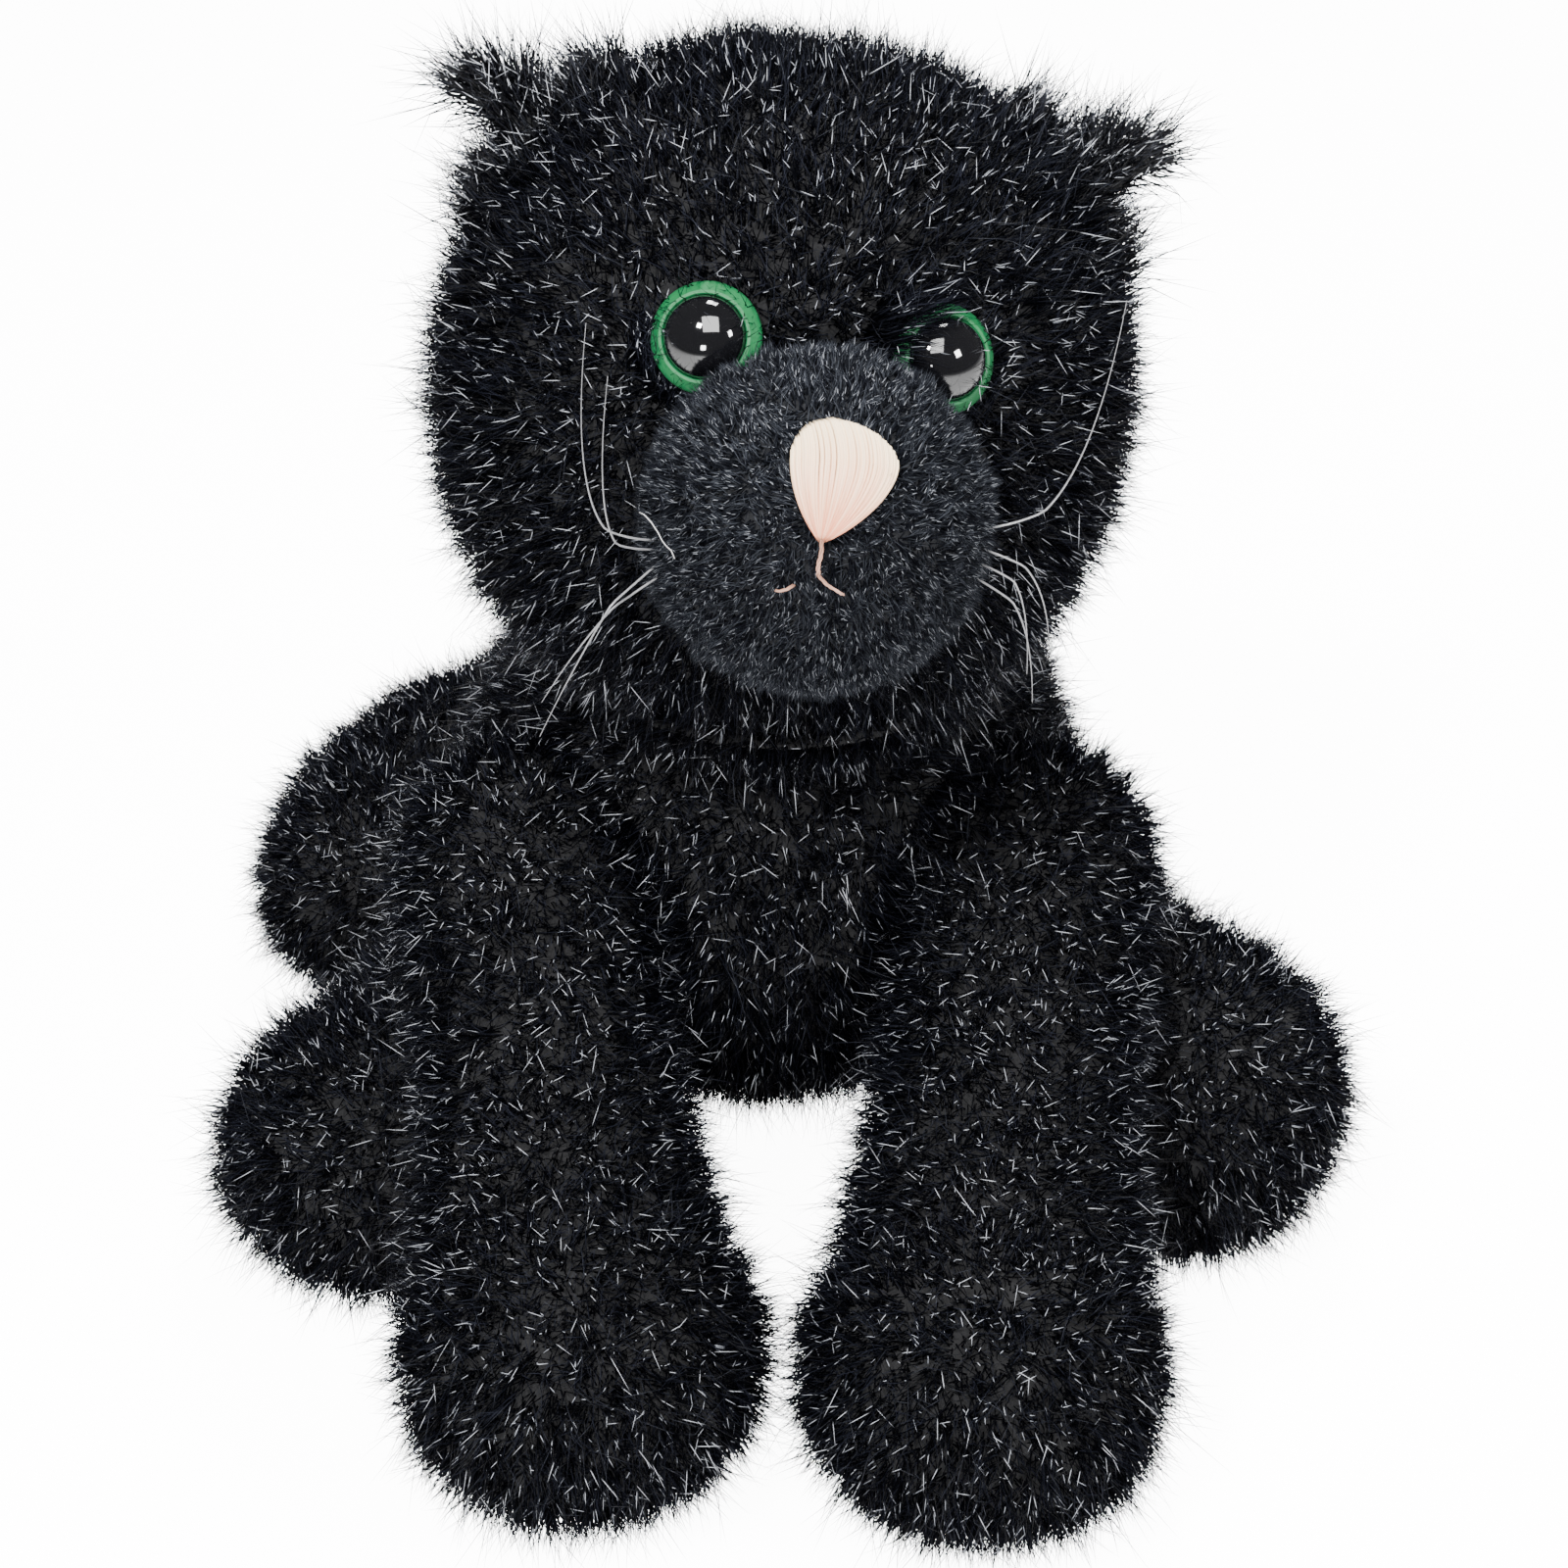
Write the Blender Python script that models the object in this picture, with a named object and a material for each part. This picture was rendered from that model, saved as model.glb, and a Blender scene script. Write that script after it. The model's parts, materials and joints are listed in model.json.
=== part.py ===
"""A black plush cat, sitting with its front legs out, built as its sewn and stuffed pieces.

Metres, +Z up. The cat faces -Y and rests on the plane z = 0. Left and right are as seen from the front.
Every skin is a set of open panels with a wall, the stuffing is a solid inside them, and a piece that moves
is parented to an empty on its joint.
"""

import math
from dataclasses import dataclass

import bmesh
import bpy
from mathutils import Euler, Matrix, Vector

MM = 0.001

# Driving dimensions, in millimetres and degrees.
GAP = 0.35  # clearance between two pieces that touch on the real toy
SEAM = 0.4  # width of the line between two sewn panels
PLUSH_WALL = 2.4  # backing fabric and the lower half of its pile
SATIN_WALL = 0.8

FOOTPRINT_MIDDLE = (-2.35, 7.71, 0.0)  # of the toy, measured from under the head's centre: the origin
HEAD_CENTRE = (0.0, 0.0, 125.0)
HEAD_HALF_WIDTH = 43.0
HEAD_HALF_DEPTH = 36.0
HEAD_HALF_HEIGHT = 41.0
HEAD_FULLNESS = (0.83, 0.66)  # of its upper and lower half: below 1 it is fuller than an ellipsoid
HEAD_PITCH = 15.5  # the face looks up by this much
HEAD_YAW = 6.5
HEAD_ROLL = 8.0

MUZZLE_RADIUS = 19.8
MUZZLE_REACH = 42.0  # from the head's centre to the muzzle's
MUZZLE_DROP = 11.6  # degrees below straight ahead
MUZZLE_WALL = 2.0
MUZZLE_NECK = 0.1  # how much narrower the muzzle gets towards its seam

EYE_RADIUS = 6.0
EYE_AZIMUTH = 22.5
EYE_ELEVATION = 15.3
EYE_RIM = 1.8  # width of the green ring round the pupil
EYE_BASE_THICKNESS = 1.8
PUPIL_HEIGHT = 3.4
SHANK_RADIUS = 2.2
SHANK_LENGTH = 11.0
WASHER_RADIUS = 5.5
WASHER_THICKNESS = 1.2

NOSE_WIDTH = 11.2
NOSE_HEIGHT = 12.6
NOSE_THICKNESS = 1.3
NOSE_ELEVATION = 24.0  # of its middle, seen from the muzzle's centre
STITCH_RADIUS = 0.45

EAR_ANGLE = 54.0  # from straight up to the middle of the ear's base
EAR_LEAN = 53.0  # from straight up to the ear's own axis
EAR_HALF_BASE = 11.5
EAR_DEPTH = 5.5
EAR_HEIGHT = 10.5
EAR_WALL = 1.9
EAR_LIFT = 1.8  # room under the base for the ear to fold

WHISKER_RADIUS = 0.22

TORSO_CENTRE = (-2.0, 30.0, 44.5)
TORSO_HALF_WIDTH = 42.5
TORSO_HALF_LENGTH = 60.0
TORSO_HALF_HEIGHT = 42.0
TORSO_FULLNESS = (0.7, 1.0)  # of the chest and the rump
TORSO_PITCH = 25.0  # the chest is higher than the rump

NECK_GUSSET_WALL = 1.6
NECK_GUSSET_ANGLE = 38.0  # half of the cone that the gusset fills, at the head's centre

FRONT_LEG_TOP_RADIUS = 17.0
FRONT_LEG_RADIUS = 15.3
FRONT_PAW_HALF_WIDTH = 22.3
FRONT_PAW_HALF_HEIGHT = 20.5
HIND_LEG_TOP_RADIUS = 17.0
HIND_LEG_RADIUS = 15.5
HIND_PAW_HALF_WIDTH = 22.5
HIND_PAW_HALF_HEIGHT = 18.0
LEG_ROOM = 2.0  # more than a gap between a leg's root and the body, for the pile at the seam

TAIL_RADIUS = 15.0
TAIL_TOP_RADIUS = 12.5

POUCH_WALL = 0.8
POUCH_DEPTH = 14.0
POUCH_HALF_WIDTH = 15.0
POUCH_HALF_LENGTH = 20.0
THREAD_RADIUS = 0.5
LABEL_WIDTH = 14.0
LABEL_LENGTH = 12.0
LABEL_THICKNESS = 0.7
LABEL_RISE = 17.0  # above the rump's tip, along the body's own height
CLOSING_START = 2.0  # degrees along the belly, from under the middle towards the chest
CLOSING_STEP = 3.0

# How fine the meshes are.
LEG_STEPS = 14
BODY_STEPS = 20
HEAD_STEPS = 20
CUT_STEPS = 12


@dataclass(frozen=True)
class Ring:
    """One cross section of a body: an ellipse across its direction of travel."""

    centre: Vector
    along: Vector
    across: Vector
    half_width: float
    half_height: float
    lean: float  # the share of the outward normal that points along the travel

    def point(self, angle, inset=0.0):
        drawn_in = inset * math.sqrt(max(0.0, 1.0 - self.lean**2))
        upward = self.across.cross(self.along)
        middle = self.centre - self.along * (self.lean * inset)
        wide = max(self.half_width - drawn_in, 0.0) * math.cos(angle)
        high = max(self.half_height - drawn_in, 0.0) * math.sin(angle)
        return middle + self.across * wide + upward * high


def rings_through(stations, up):
    """Rings through (centre, half width, half height), with zero sizes at a closed end. Millimetres."""
    centres = [Vector(centre) for centre, _, _ in stations]
    rings = []
    for i, (_, wide, high) in enumerate(stations):
        before = max(i - 1, 0)
        after = min(i + 1, len(stations) - 1)
        travel = centres[after] - centres[before]
        growth = (sum(stations[after][1:]) - sum(stations[before][1:])) / 2.0
        lean = -growth / math.hypot(growth, travel.length)
        if wide == 0.0:
            lean = -1.0 if i == 0 else 1.0
        along = travel.normalized()
        across = along.cross(Vector(up)).normalized()
        rings.append(Ring(centres[i], along, across, wide, high, lean))
    return rings


def ellipsoid_stations(axis, half_length, half_width, half_height, count, start=0.0, end=180.0,
                       fullness=(1.0, 1.0)):
    """Stations along axis from its positive end, over polar angles from start to end.

    A fullness below 1 swells that half: first the half at the positive end, then the other.
    """
    stations = []
    for i in range(count + 1):
        polar = math.radians(start + (end - start) * i / count)
        power = fullness[1] if polar > math.pi / 2.0 else fullness[0]
        size = 0.0 if min(polar, math.pi - polar) < 1e-6 else math.sin(polar) ** power
        centre = Vector(axis) * (half_length * math.cos(polar))
        stations.append((centre, half_width * size, half_height * size))
    return stations


def rows_of(bm, rings, angles, inset):
    """One row of vertices for each ring. A closed end's row is a single vertex."""
    rows = []
    for ring in rings:
        spots = angles[:1] if ring.half_width == 0.0 else angles
        rows.append([bm.verts.new(ring.point(angle, inset) * MM) for angle in spots])
    return rows


def face(bm, corners):
    kept = list(dict.fromkeys(corners))
    if len(kept) > 2:
        bm.faces.new(kept)


def bridge(bm, rows, closed):
    for first, second in zip(rows, rows[1:]):
        width = max(len(first), len(second))
        for i in range(width if closed else width - 1):
            j = (i + 1) % width
            face(bm, [first[i % len(first)], first[j % len(first)],
                      second[j % len(second)], second[i % len(second)]])


def finish_mesh(name, bm, material, parent=None):
    """Makes the object, with its faces pointing out and its round stretches shaded smooth."""
    bmesh.ops.recalc_face_normals(bm, faces=bm.faces)
    mesh = bpy.data.meshes.new(name)
    bm.to_mesh(mesh)
    bm.free()
    mesh.shade_smooth()
    mesh.set_sharp_from_angle(angle=math.radians(40))
    if material is not None:
        mesh.materials.append(material)
    made = bpy.data.objects.new(name, mesh)
    bpy.context.scene.collection.objects.link(made)
    made.parent = parent
    return made


def full_turn(steps):
    return [math.tau * i / steps for i in range(steps)]


def solid(name, rings, steps, material, parent, inset=0.0):
    """A closed body through the rings, with flat ends where an end ring has a size."""
    bm = bmesh.new()
    rows = rows_of(bm, rings, full_turn(steps), inset)
    bridge(bm, rows, closed=True)
    for row in (rows[0], rows[-1]):
        face(bm, row)
    return finish_mesh(name, bm, material, parent)


def cup(name, rings, steps, wall, material, parent, inset=0.0):
    """A shell of this wall round the rings, open at each end that has a size."""
    bm = bmesh.new()
    outer = rows_of(bm, rings, full_turn(steps), inset)
    inner = rows_of(bm, rings, full_turn(steps), inset + wall)
    bridge(bm, outer, closed=True)
    bridge(bm, inner, closed=True)
    for end in (0, -1):
        if len(outer[end]) > 1:
            bridge(bm, [outer[end], inner[end]], closed=True)
    return finish_mesh(name, bm, material, parent)


def panel(name, rings, arc, steps, wall, material, parent, inset=0.0):
    """A shell of this wall over an arc in degrees, drawn away from its neighbours by half a seam."""
    first, last = (math.radians(angle) for angle in arc)
    count = max(2, round(steps * (last - first) / math.tau))
    angles = [first + (last - first) * i / count for i in range(count + 1)]
    bm = bmesh.new()
    outer = rows_of(bm, rings, angles, inset)
    inner = rows_of(bm, rings, angles, inset + wall)
    bridge(bm, outer, closed=False)
    bridge(bm, inner, closed=False)
    for column in (0, -1):
        bridge(bm, [[row[column] for row in outer], [row[column] for row in inner]], closed=False)
    for end in (0, -1):
        if len(outer[end]) > 1:
            bridge(bm, [outer[end], inner[end]], closed=False)
    middle = (first + last) / 2.0
    centre = rings[len(rings) // 2]
    away = centre.across * math.cos(middle) + centre.across.cross(centre.along) * math.sin(middle)
    shift = SEAM / 2.0 / max(math.sin((last - first) / 2.0), 0.5)
    bmesh.ops.translate(bm, verts=bm.verts, vec=away * shift * MM)
    return finish_mesh(name, bm, material, parent)


def material(name, colour, roughness, metallic=0.0):
    made = bpy.data.materials.new(name)
    made.use_nodes = True
    shader = made.node_tree.nodes["Principled BSDF"]
    shader.inputs["Base Color"].default_value = (*colour, 1.0)
    shader.inputs["Roughness"].default_value = roughness
    shader.inputs["Metallic"].default_value = metallic
    return made


def empty(name, place, turn=None, parent=None):
    """A parent for the pieces that move together. place is in millimetres."""
    made = bpy.data.objects.new(name, None)
    bpy.context.scene.collection.objects.link(made)
    made.parent = parent
    made.matrix_basis = Matrix.Translation(Vector(place) * MM) @ (turn or Matrix.Identity(4))
    return made


def as_cutter(made):
    made.hide_render = True
    made.display_type = "WIRE"
    return made


def cut(pieces, cutter):
    for piece in pieces:
        modifier = piece.modifiers.new("cut_" + cutter.name, "BOOLEAN")
        modifier.operation = "DIFFERENCE"
        modifier.solver = "EXACT"
        modifier.object = cutter


def ball_cutter(name, radius, steps, parent, squash=(1.0, 1.0, 1.0)):
    bm = bmesh.new()
    bmesh.ops.create_uvsphere(bm, u_segments=steps, v_segments=steps // 2, radius=radius * MM)
    bmesh.ops.scale(bm, vec=squash, verts=bm.verts)
    return as_cutter(finish_mesh(name, bm, None, parent))


def turned(name, profile, steps, material_used, parent):
    """A body of revolution round local Z. The profile is (radius, height) from the axis and back to it."""
    bm = bmesh.new()
    rows = []
    for radius, height in profile:
        if radius == 0.0:
            rows.append([bm.verts.new((0.0, 0.0, height * MM))])
        else:
            rows.append([bm.verts.new((radius * math.cos(a) * MM, radius * math.sin(a) * MM, height * MM))
                         for a in full_turn(steps)])
    bridge(bm, rows, closed=True)
    if profile[0][0] > 0.0:
        bridge(bm, [rows[-1], rows[0]], closed=True)
    return finish_mesh(name, bm, material_used, parent)


def thread(name, points, radius, material_used, parent):
    """A filament through points in millimetres, tapered to nothing nowhere: its ends are cut flat."""
    curve = bpy.data.curves.new(name, "CURVE")
    curve.dimensions = "3D"
    curve.bevel_depth = radius * MM
    curve.bevel_resolution = 0
    curve.use_fill_caps = True
    line = curve.splines.new("POLY")
    line.points.add(len(points) - 1)
    for spot, point in zip(line.points, points):
        spot.co = (*(Vector(point) * MM), 1.0)
    curve.materials.append(material_used)
    made = bpy.data.objects.new(name, curve)
    bpy.context.scene.collection.objects.link(made)
    made.parent = parent
    return made


def toward(direction, up=(0.0, 0.0, 1.0)):
    """The turn that points local Z along direction, with local Y kept as near up as it can be."""
    z_axis = Vector(direction).normalized()
    x_axis = Vector(up).cross(z_axis).normalized()
    y_axis = z_axis.cross(x_axis)
    return Matrix((x_axis, y_axis, z_axis)).transposed().to_4x4()


def ray(azimuth, elevation):
    """A direction in the head's frame: straight ahead is -Y, azimuth grows to +X."""
    a, e = math.radians(azimuth), math.radians(elevation)
    return Vector((math.sin(a) * math.cos(e), -math.cos(a) * math.cos(e), math.sin(e)))


def on_head(direction):
    """The point of the head's surface in this direction, and the surface's outward normal."""
    sizes = (HEAD_HALF_WIDTH, HEAD_HALF_DEPTH, HEAD_HALF_HEIGHT)
    reach = 1.0 / math.sqrt(sum((d / s) ** 2 for d, s in zip(direction, sizes)))
    spot = direction * reach
    return spot, Vector(p / s**2 for p, s in zip(spot, sizes)).normalized()


class Materials:
    """The finishes, one for each kind of stuff in the toy."""

    def __init__(self):
        self.long_pile = material("long_pile", (0.012, 0.013, 0.016), 0.75)
        self.short_pile = material("short_pile", (0.022, 0.025, 0.034), 0.9)
        self.satin = material("ear_satin", (0.42, 0.25, 0.2), 0.55)
        self.green = material("green_plastic", (0.03, 0.32, 0.1), 0.3)
        self.black = material("black_plastic", (0.005, 0.005, 0.006), 0.08)
        self.nylon = material("clear_nylon", (0.6, 0.6, 0.58), 0.4)
        self.pink = material("pink_floss", (0.8, 0.45, 0.36), 0.6)
        self.bristle = material("whisker_bristle", (0.02, 0.02, 0.022), 0.3)
        self.filling = material("polyester_filling", (0.82, 0.82, 0.8), 0.95)
        self.pellets = material("plastic_pellets", (0.7, 0.72, 0.7), 0.5)
        self.lining = material("pouch_lining", (0.12, 0.12, 0.13), 0.9)
        self.thread = material("black_thread", (0.01, 0.01, 0.012), 0.8)
        self.label = material("label_satin", (0.85, 0.85, 0.84), 0.6)


def build_muzzle(head, finish, head_front, head_stuffing):
    """The ball of short pile on the front of the head, open where it is sewn on."""
    aim = ray(0.0, -MUZZLE_DROP)
    frame = empty("muzzle_frame", aim * MUZZLE_REACH, toward(aim), head)
    back = 118.0  # the polar angle where the ball ends inside the head
    stations = [(centre, wide * (1.0 + MUZZLE_NECK * min(0.0, centre.z) / MUZZLE_RADIUS * 2.0), high)
                for centre, wide, high in
                ellipsoid_stations((0, 0, 1), MUZZLE_RADIUS, MUZZLE_RADIUS, MUZZLE_RADIUS, 8, 0.0, back)]
    stations = [(centre, wide, wide) for centre, wide, _ in stations]
    rings = rings_through(stations, (0, 1, 0))
    cup("muzzle_panel", rings, 20, MUZZLE_WALL, finish.short_pile, frame)
    solid("muzzle_stuffing", rings, 16, finish.filling, frame, inset=MUZZLE_WALL + GAP)
    room = ball_cutter("muzzle_room", MUZZLE_RADIUS + GAP + 0.2, 24, frame)
    cut([head_front, head_stuffing], room)


def muzzle_point(azimuth, elevation, height):
    """A point this far above the muzzle's surface, in the head's frame."""
    middle = ray(0.0, -MUZZLE_DROP) * MUZZLE_REACH
    return middle + ray(azimuth, elevation) * (MUZZLE_RADIUS + height)


def nose_half_width(share):
    """Half of the nose's width at this share of its height, from its rounded top to its lower point."""
    crown = math.sqrt(max(0.0, 1.0 - ((0.36 - min(share, 0.36)) / 0.36) ** 2))
    taper = 1.0 - max(0.0, (share - 0.36) / 0.64) ** 1.35
    return NOSE_WIDTH / 2.0 * max(crown * taper, 0.04)


def build_nose(head, finish):
    """The satin-stitched nose: a thin pad that follows the muzzle, wide at the top."""
    per_mm = math.degrees(1.0 / MUZZLE_RADIUS)
    rows, columns = 9, 8
    bm = bmesh.new()
    sheets = []
    for height in (GAP, NOSE_THICKNESS):
        sheet = []
        for i in range(rows + 1):
            share = i / rows
            elevation = NOSE_ELEVATION + (0.5 - share) * NOSE_HEIGHT * per_mm
            half = nose_half_width(share) * per_mm / math.cos(math.radians(elevation))
            line = []
            for j in range(columns + 1):
                azimuth = half * (2.0 * j / columns - 1.0)
                line.append(bm.verts.new(muzzle_point(azimuth, elevation, height) * MM))
            sheet.append(line)
        sheets.append(sheet)
        bridge(bm, sheet, closed=False)
    under, over = sheets
    for end in (0, -1):
        bridge(bm, [under[end], over[end]], closed=False)
        bridge(bm, [[line[end] for line in under], [line[end] for line in over]], closed=False)
    finish_mesh("nose_embroidery", bm, finish.pink, head)


def build_mouth(head, finish):
    """The long stitch under the nose with its foot to the right, and the short stitch to the left."""
    per_mm = math.degrees(1.0 / MUZZLE_RADIUS)
    above = GAP + STITCH_RADIUS
    start = NOSE_ELEVATION - (NOSE_HEIGHT / 2.0 + 0.8) * per_mm
    fork = start - 3.6 * per_mm
    down = [muzzle_point(0.0, start + (fork - start) * i / 3.0, above) for i in range(4)]
    across = [muzzle_point(s * 1.6 * per_mm, fork - s * 0.7 * per_mm, above) for s in (1, 2, 3)]
    thread("mouth_stitch_right", down + across, STITCH_RADIUS, finish.pink, head)
    left = [muzzle_point(-(1.6 + s) * per_mm, fork - (0.4 + 0.45 * s) * per_mm, above) for s in (0, 1, 2)]
    thread("mouth_stitch_left", left, STITCH_RADIUS, finish.pink, head)


@dataclass(frozen=True)
class Whisker:
    """A bristle that leaves the side of the muzzle and bends. Lengths in millimetres."""

    side: int  # -1 for the left
    elevation: float  # of its root on the muzzle
    out: float  # how far it goes sideways
    rise: float  # how far its tip ends above its root
    forward: float
    curl: float  # 0 is straight, 1 leaves sideways and ends upright

    def path(self, count=9):
        root = muzzle_point(self.side * 72.0, self.elevation, GAP + WHISKER_RADIUS)
        leave = muzzle_point(self.side * 72.0, self.elevation, GAP + WHISKER_RADIUS + 1.5) - root
        points = [root]
        for i in range(1, count):
            t = i / (count - 1)
            sideways = t + self.curl * t * (1.0 - t)
            upwards = t - self.curl * t * (1.0 - t)
            reach = Vector((self.side * self.out * sideways, -self.forward * t, self.rise * upwards))
            points.append(root + leave * min(1.0, 4.0 * t) + reach)
        return points


WHISKERS = {
    "whisker_left_1": Whisker(-1, -6.0, 8.0, 25.0, 3.0, 1.0),
    "whisker_left_2": Whisker(-1, -10.0, 5.5, 21.0, 6.0, 1.0),
    "whisker_left_3": Whisker(-1, -15.0, 9.5, -20.0, 4.0, 0.1),
    "whisker_left_4": Whisker(-1, -20.0, 10.0, -15.0, 1.0, 0.15),
    "whisker_right_1": Whisker(1, 4.0, 9.5, 28.0, 3.0, 0.8),
    "whisker_right_2": Whisker(1, -2.0, 6.2, -11.0, 3.0, 0.7),
    "whisker_right_3": Whisker(1, -7.0, 3.6, -11.0, 5.0, 0.8),
    "whisker_right_4": Whisker(1, -12.0, 5.9, -13.5, 1.0, 0.6),
}


def build_eye(side, name, head, finish, head_front, head_stuffing):
    """A safety eye: green base with its shank, black domed pupil, and the washer that locks it inside."""
    spot, normal = on_head(ray(side * EYE_AZIMUTH, EYE_ELEVATION))
    frame = empty("eye_frame_" + name, spot + normal * GAP, toward(normal), head)
    pupil_radius = EYE_RADIUS - EYE_RIM
    seat = 0.5 * EYE_BASE_THICKNESS
    base = [(0.0, -SHANK_LENGTH), (SHANK_RADIUS, -SHANK_LENGTH), (SHANK_RADIUS, 0.0), (EYE_RADIUS - 0.5, 0.0),
            (EYE_RADIUS, 0.4), (EYE_RADIUS - 0.3, 0.9), (pupil_radius + 0.4, EYE_BASE_THICKNESS),
            (pupil_radius, EYE_BASE_THICKNESS), (pupil_radius, seat), (0.0, seat)]
    turned("eye_base_" + name, base, 20, finish.green, frame)
    dome = [(0.0, seat + GAP)]
    rim = pupil_radius - GAP
    for i in range(5):
        polar = math.radians(90.0 * (1.0 - i / 5.0))
        dome.append((rim * math.sin(polar), EYE_BASE_THICKNESS - 0.2 + PUPIL_HEIGHT * math.cos(polar)))
    dome.insert(1, (rim, seat + GAP))
    dome.append((0.0, EYE_BASE_THICKNESS - 0.2 + PUPIL_HEIGHT))
    turned("eye_pupil_" + name, dome, 20, finish.black, frame)
    behind = -(PLUSH_WALL + GAP + 1.0)
    hole = SHANK_RADIUS + GAP
    washer = [(hole, behind), (hole, behind - WASHER_THICKNESS),
              (WASHER_RADIUS, behind - WASHER_THICKNESS), (WASHER_RADIUS, behind)]
    turned("eye_washer_" + name, washer, 16, finish.nylon, frame)
    bore = [(0.0, -SHANK_LENGTH - GAP), (hole, -SHANK_LENGTH - GAP), (hole, 4.0), (0.0, 4.0)]
    cut([head_front, head_stuffing], as_cutter(turned("shank_bore_" + name, bore, 16, None, frame)))
    floor = behind - WASHER_THICKNESS - GAP
    pocket = [(0.0, floor), (WASHER_RADIUS + GAP, floor), (WASHER_RADIUS + GAP, 4.0), (0.0, 4.0)]
    cut([head_stuffing], as_cutter(turned("washer_pocket_" + name, pocket, 16, None, frame)))


def build_ear(side, name, head, finish):
    """A cupped ear, black outside and satin inside, that folds at its base. Its hollow faces sideways."""
    out = math.radians(EAR_ANGLE)
    spot, normal = on_head(Vector((side * math.sin(out), 0.04, math.cos(out))))
    lean = math.radians(EAR_LEAN)
    axis = Vector((side * math.sin(lean), 0.05, math.cos(lean)))
    frame = empty("ear_frame_" + name, spot + normal * EAR_LIFT, toward(axis, (side, 0.0, 0.0)), head)
    stations = []
    for share in (0.0, 0.25, 0.5, 0.72, 0.9, 1.0):
        size = math.sqrt(max(0.0, 1.0 - share**1.9))
        stations.append((Vector((0, 0, EAR_HEIGHT * share)), EAR_HALF_BASE * size, EAR_DEPTH * size))
    outer = rings_through(stations, (0, 1, 0))
    panel("ear_outer_" + name, outer, (180.0, 360.0), 20, EAR_WALL, finish.long_pile, frame)
    panel("ear_lining_" + name, outer, (184.0, 356.0), 20, SATIN_WALL, finish.satin, frame,
          inset=EAR_WALL + GAP)


def build_head(finish):
    """The head and all that is sewn or fixed to it."""
    turn = Euler((math.radians(-HEAD_PITCH), math.radians(HEAD_ROLL), math.radians(HEAD_YAW)), "YXZ")
    head = empty("head_pivot", HEAD_CENTRE, turn.to_matrix().to_4x4())
    stations = ellipsoid_stations((0, 0, 1), HEAD_HALF_HEIGHT, HEAD_HALF_WIDTH, HEAD_HALF_DEPTH, 10,
                                  fullness=HEAD_FULLNESS)
    rings = rings_through(stations, (0, 1, 0))
    head_front = panel("head_front_panel", rings, (180.0, 360.0), HEAD_STEPS, PLUSH_WALL,
                       finish.long_pile, head)
    panel("head_back_panel", rings, (0.0, 180.0), HEAD_STEPS, PLUSH_WALL, finish.long_pile, head)
    head_stuffing = solid("head_stuffing", rings, 16, finish.filling, head, inset=PLUSH_WALL + GAP)
    build_muzzle(head, finish, head_front, head_stuffing)
    build_nose(head, finish)
    build_mouth(head, finish)
    for name, whisker in WHISKERS.items():
        thread(name, whisker.path(), WHISKER_RADIUS, finish.bristle, head)
    for side, name in ((-1, "left"), (1, "right")):
        build_eye(side, name, head, finish, head_front, head_stuffing)
        build_ear(side, name, head, finish)


@dataclass(frozen=True)
class Leg:
    """A leg from its seam on the body to its paw, both in millimetres."""

    hip: tuple
    paw: tuple
    roll: float  # how far the paw is turned about the leg
    top_radius: float
    radius: float
    paw_half_width: float
    paw_half_height: float
    swing_axis: tuple
    swing: tuple  # the least and the most that the body leaves room for, in degrees

    def stations(self):
        """Along local Z from the seam to the closed end of the paw."""
        length = (Vector(self.paw) - Vector(self.hip)).length
        ball_start = length - 0.62 * self.paw_half_width
        found = [(0.0, self.top_radius, self.top_radius),
                 (0.3 * length, self.radius, self.radius),
                 (0.55 * length, self.radius + 0.5, self.radius)]
        ball_length = 0.92 * self.paw_half_width
        for polar in (125.0, 100.0, 75.0, 52.0, 32.0, 14.0, 0.0):
            size = math.sin(math.radians(polar)) ** 0.85 if polar else 0.0
            along = length + ball_length * math.cos(math.radians(polar))
            if along > ball_start - 4.0:
                found.append((along, self.paw_half_width * size, self.paw_half_height * size))
        return [(Vector((0, 0, along)), wide, high) for along, wide, high in found]


LEGS = {
    "front_leg_left": Leg((-35.0, -9.0, 56.0), (-26.0, -65.0, 19.5), 0.0, FRONT_LEG_TOP_RADIUS,
                          FRONT_LEG_RADIUS, FRONT_PAW_HALF_WIDTH, FRONT_PAW_HALF_HEIGHT,
                          (-1.0, 0.0, 0.0), (-8.0, 30.0)),
    "front_leg_right": Leg((33.0, -9.0, 56.0), (25.2, -68.0, 19.5), 0.0, FRONT_LEG_TOP_RADIUS,
                           FRONT_LEG_RADIUS, FRONT_PAW_HALF_WIDTH, FRONT_PAW_HALF_HEIGHT,
                           (-1.0, 0.0, 0.0), (-5.0, 30.0)),
    "hind_leg_left": Leg((-27.0, 26.0, 30.0), (-56.0, -20.0, 17.0), 0.0, HIND_LEG_TOP_RADIUS,
                         HIND_LEG_RADIUS, HIND_PAW_HALF_WIDTH, HIND_PAW_HALF_HEIGHT,
                         (0.0, 0.0, 1.0), (-12.0, 2.0)),
    "hind_leg_right": Leg((27.0, 26.0, 32.0), (57.0, -14.0, 21.0), 65.0, HIND_LEG_TOP_RADIUS,
                          HIND_LEG_RADIUS, HIND_PAW_HALF_WIDTH, HIND_PAW_HALF_HEIGHT,
                          (0.0, 0.0, 1.0), (-4.0, 20.0)),
}


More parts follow.
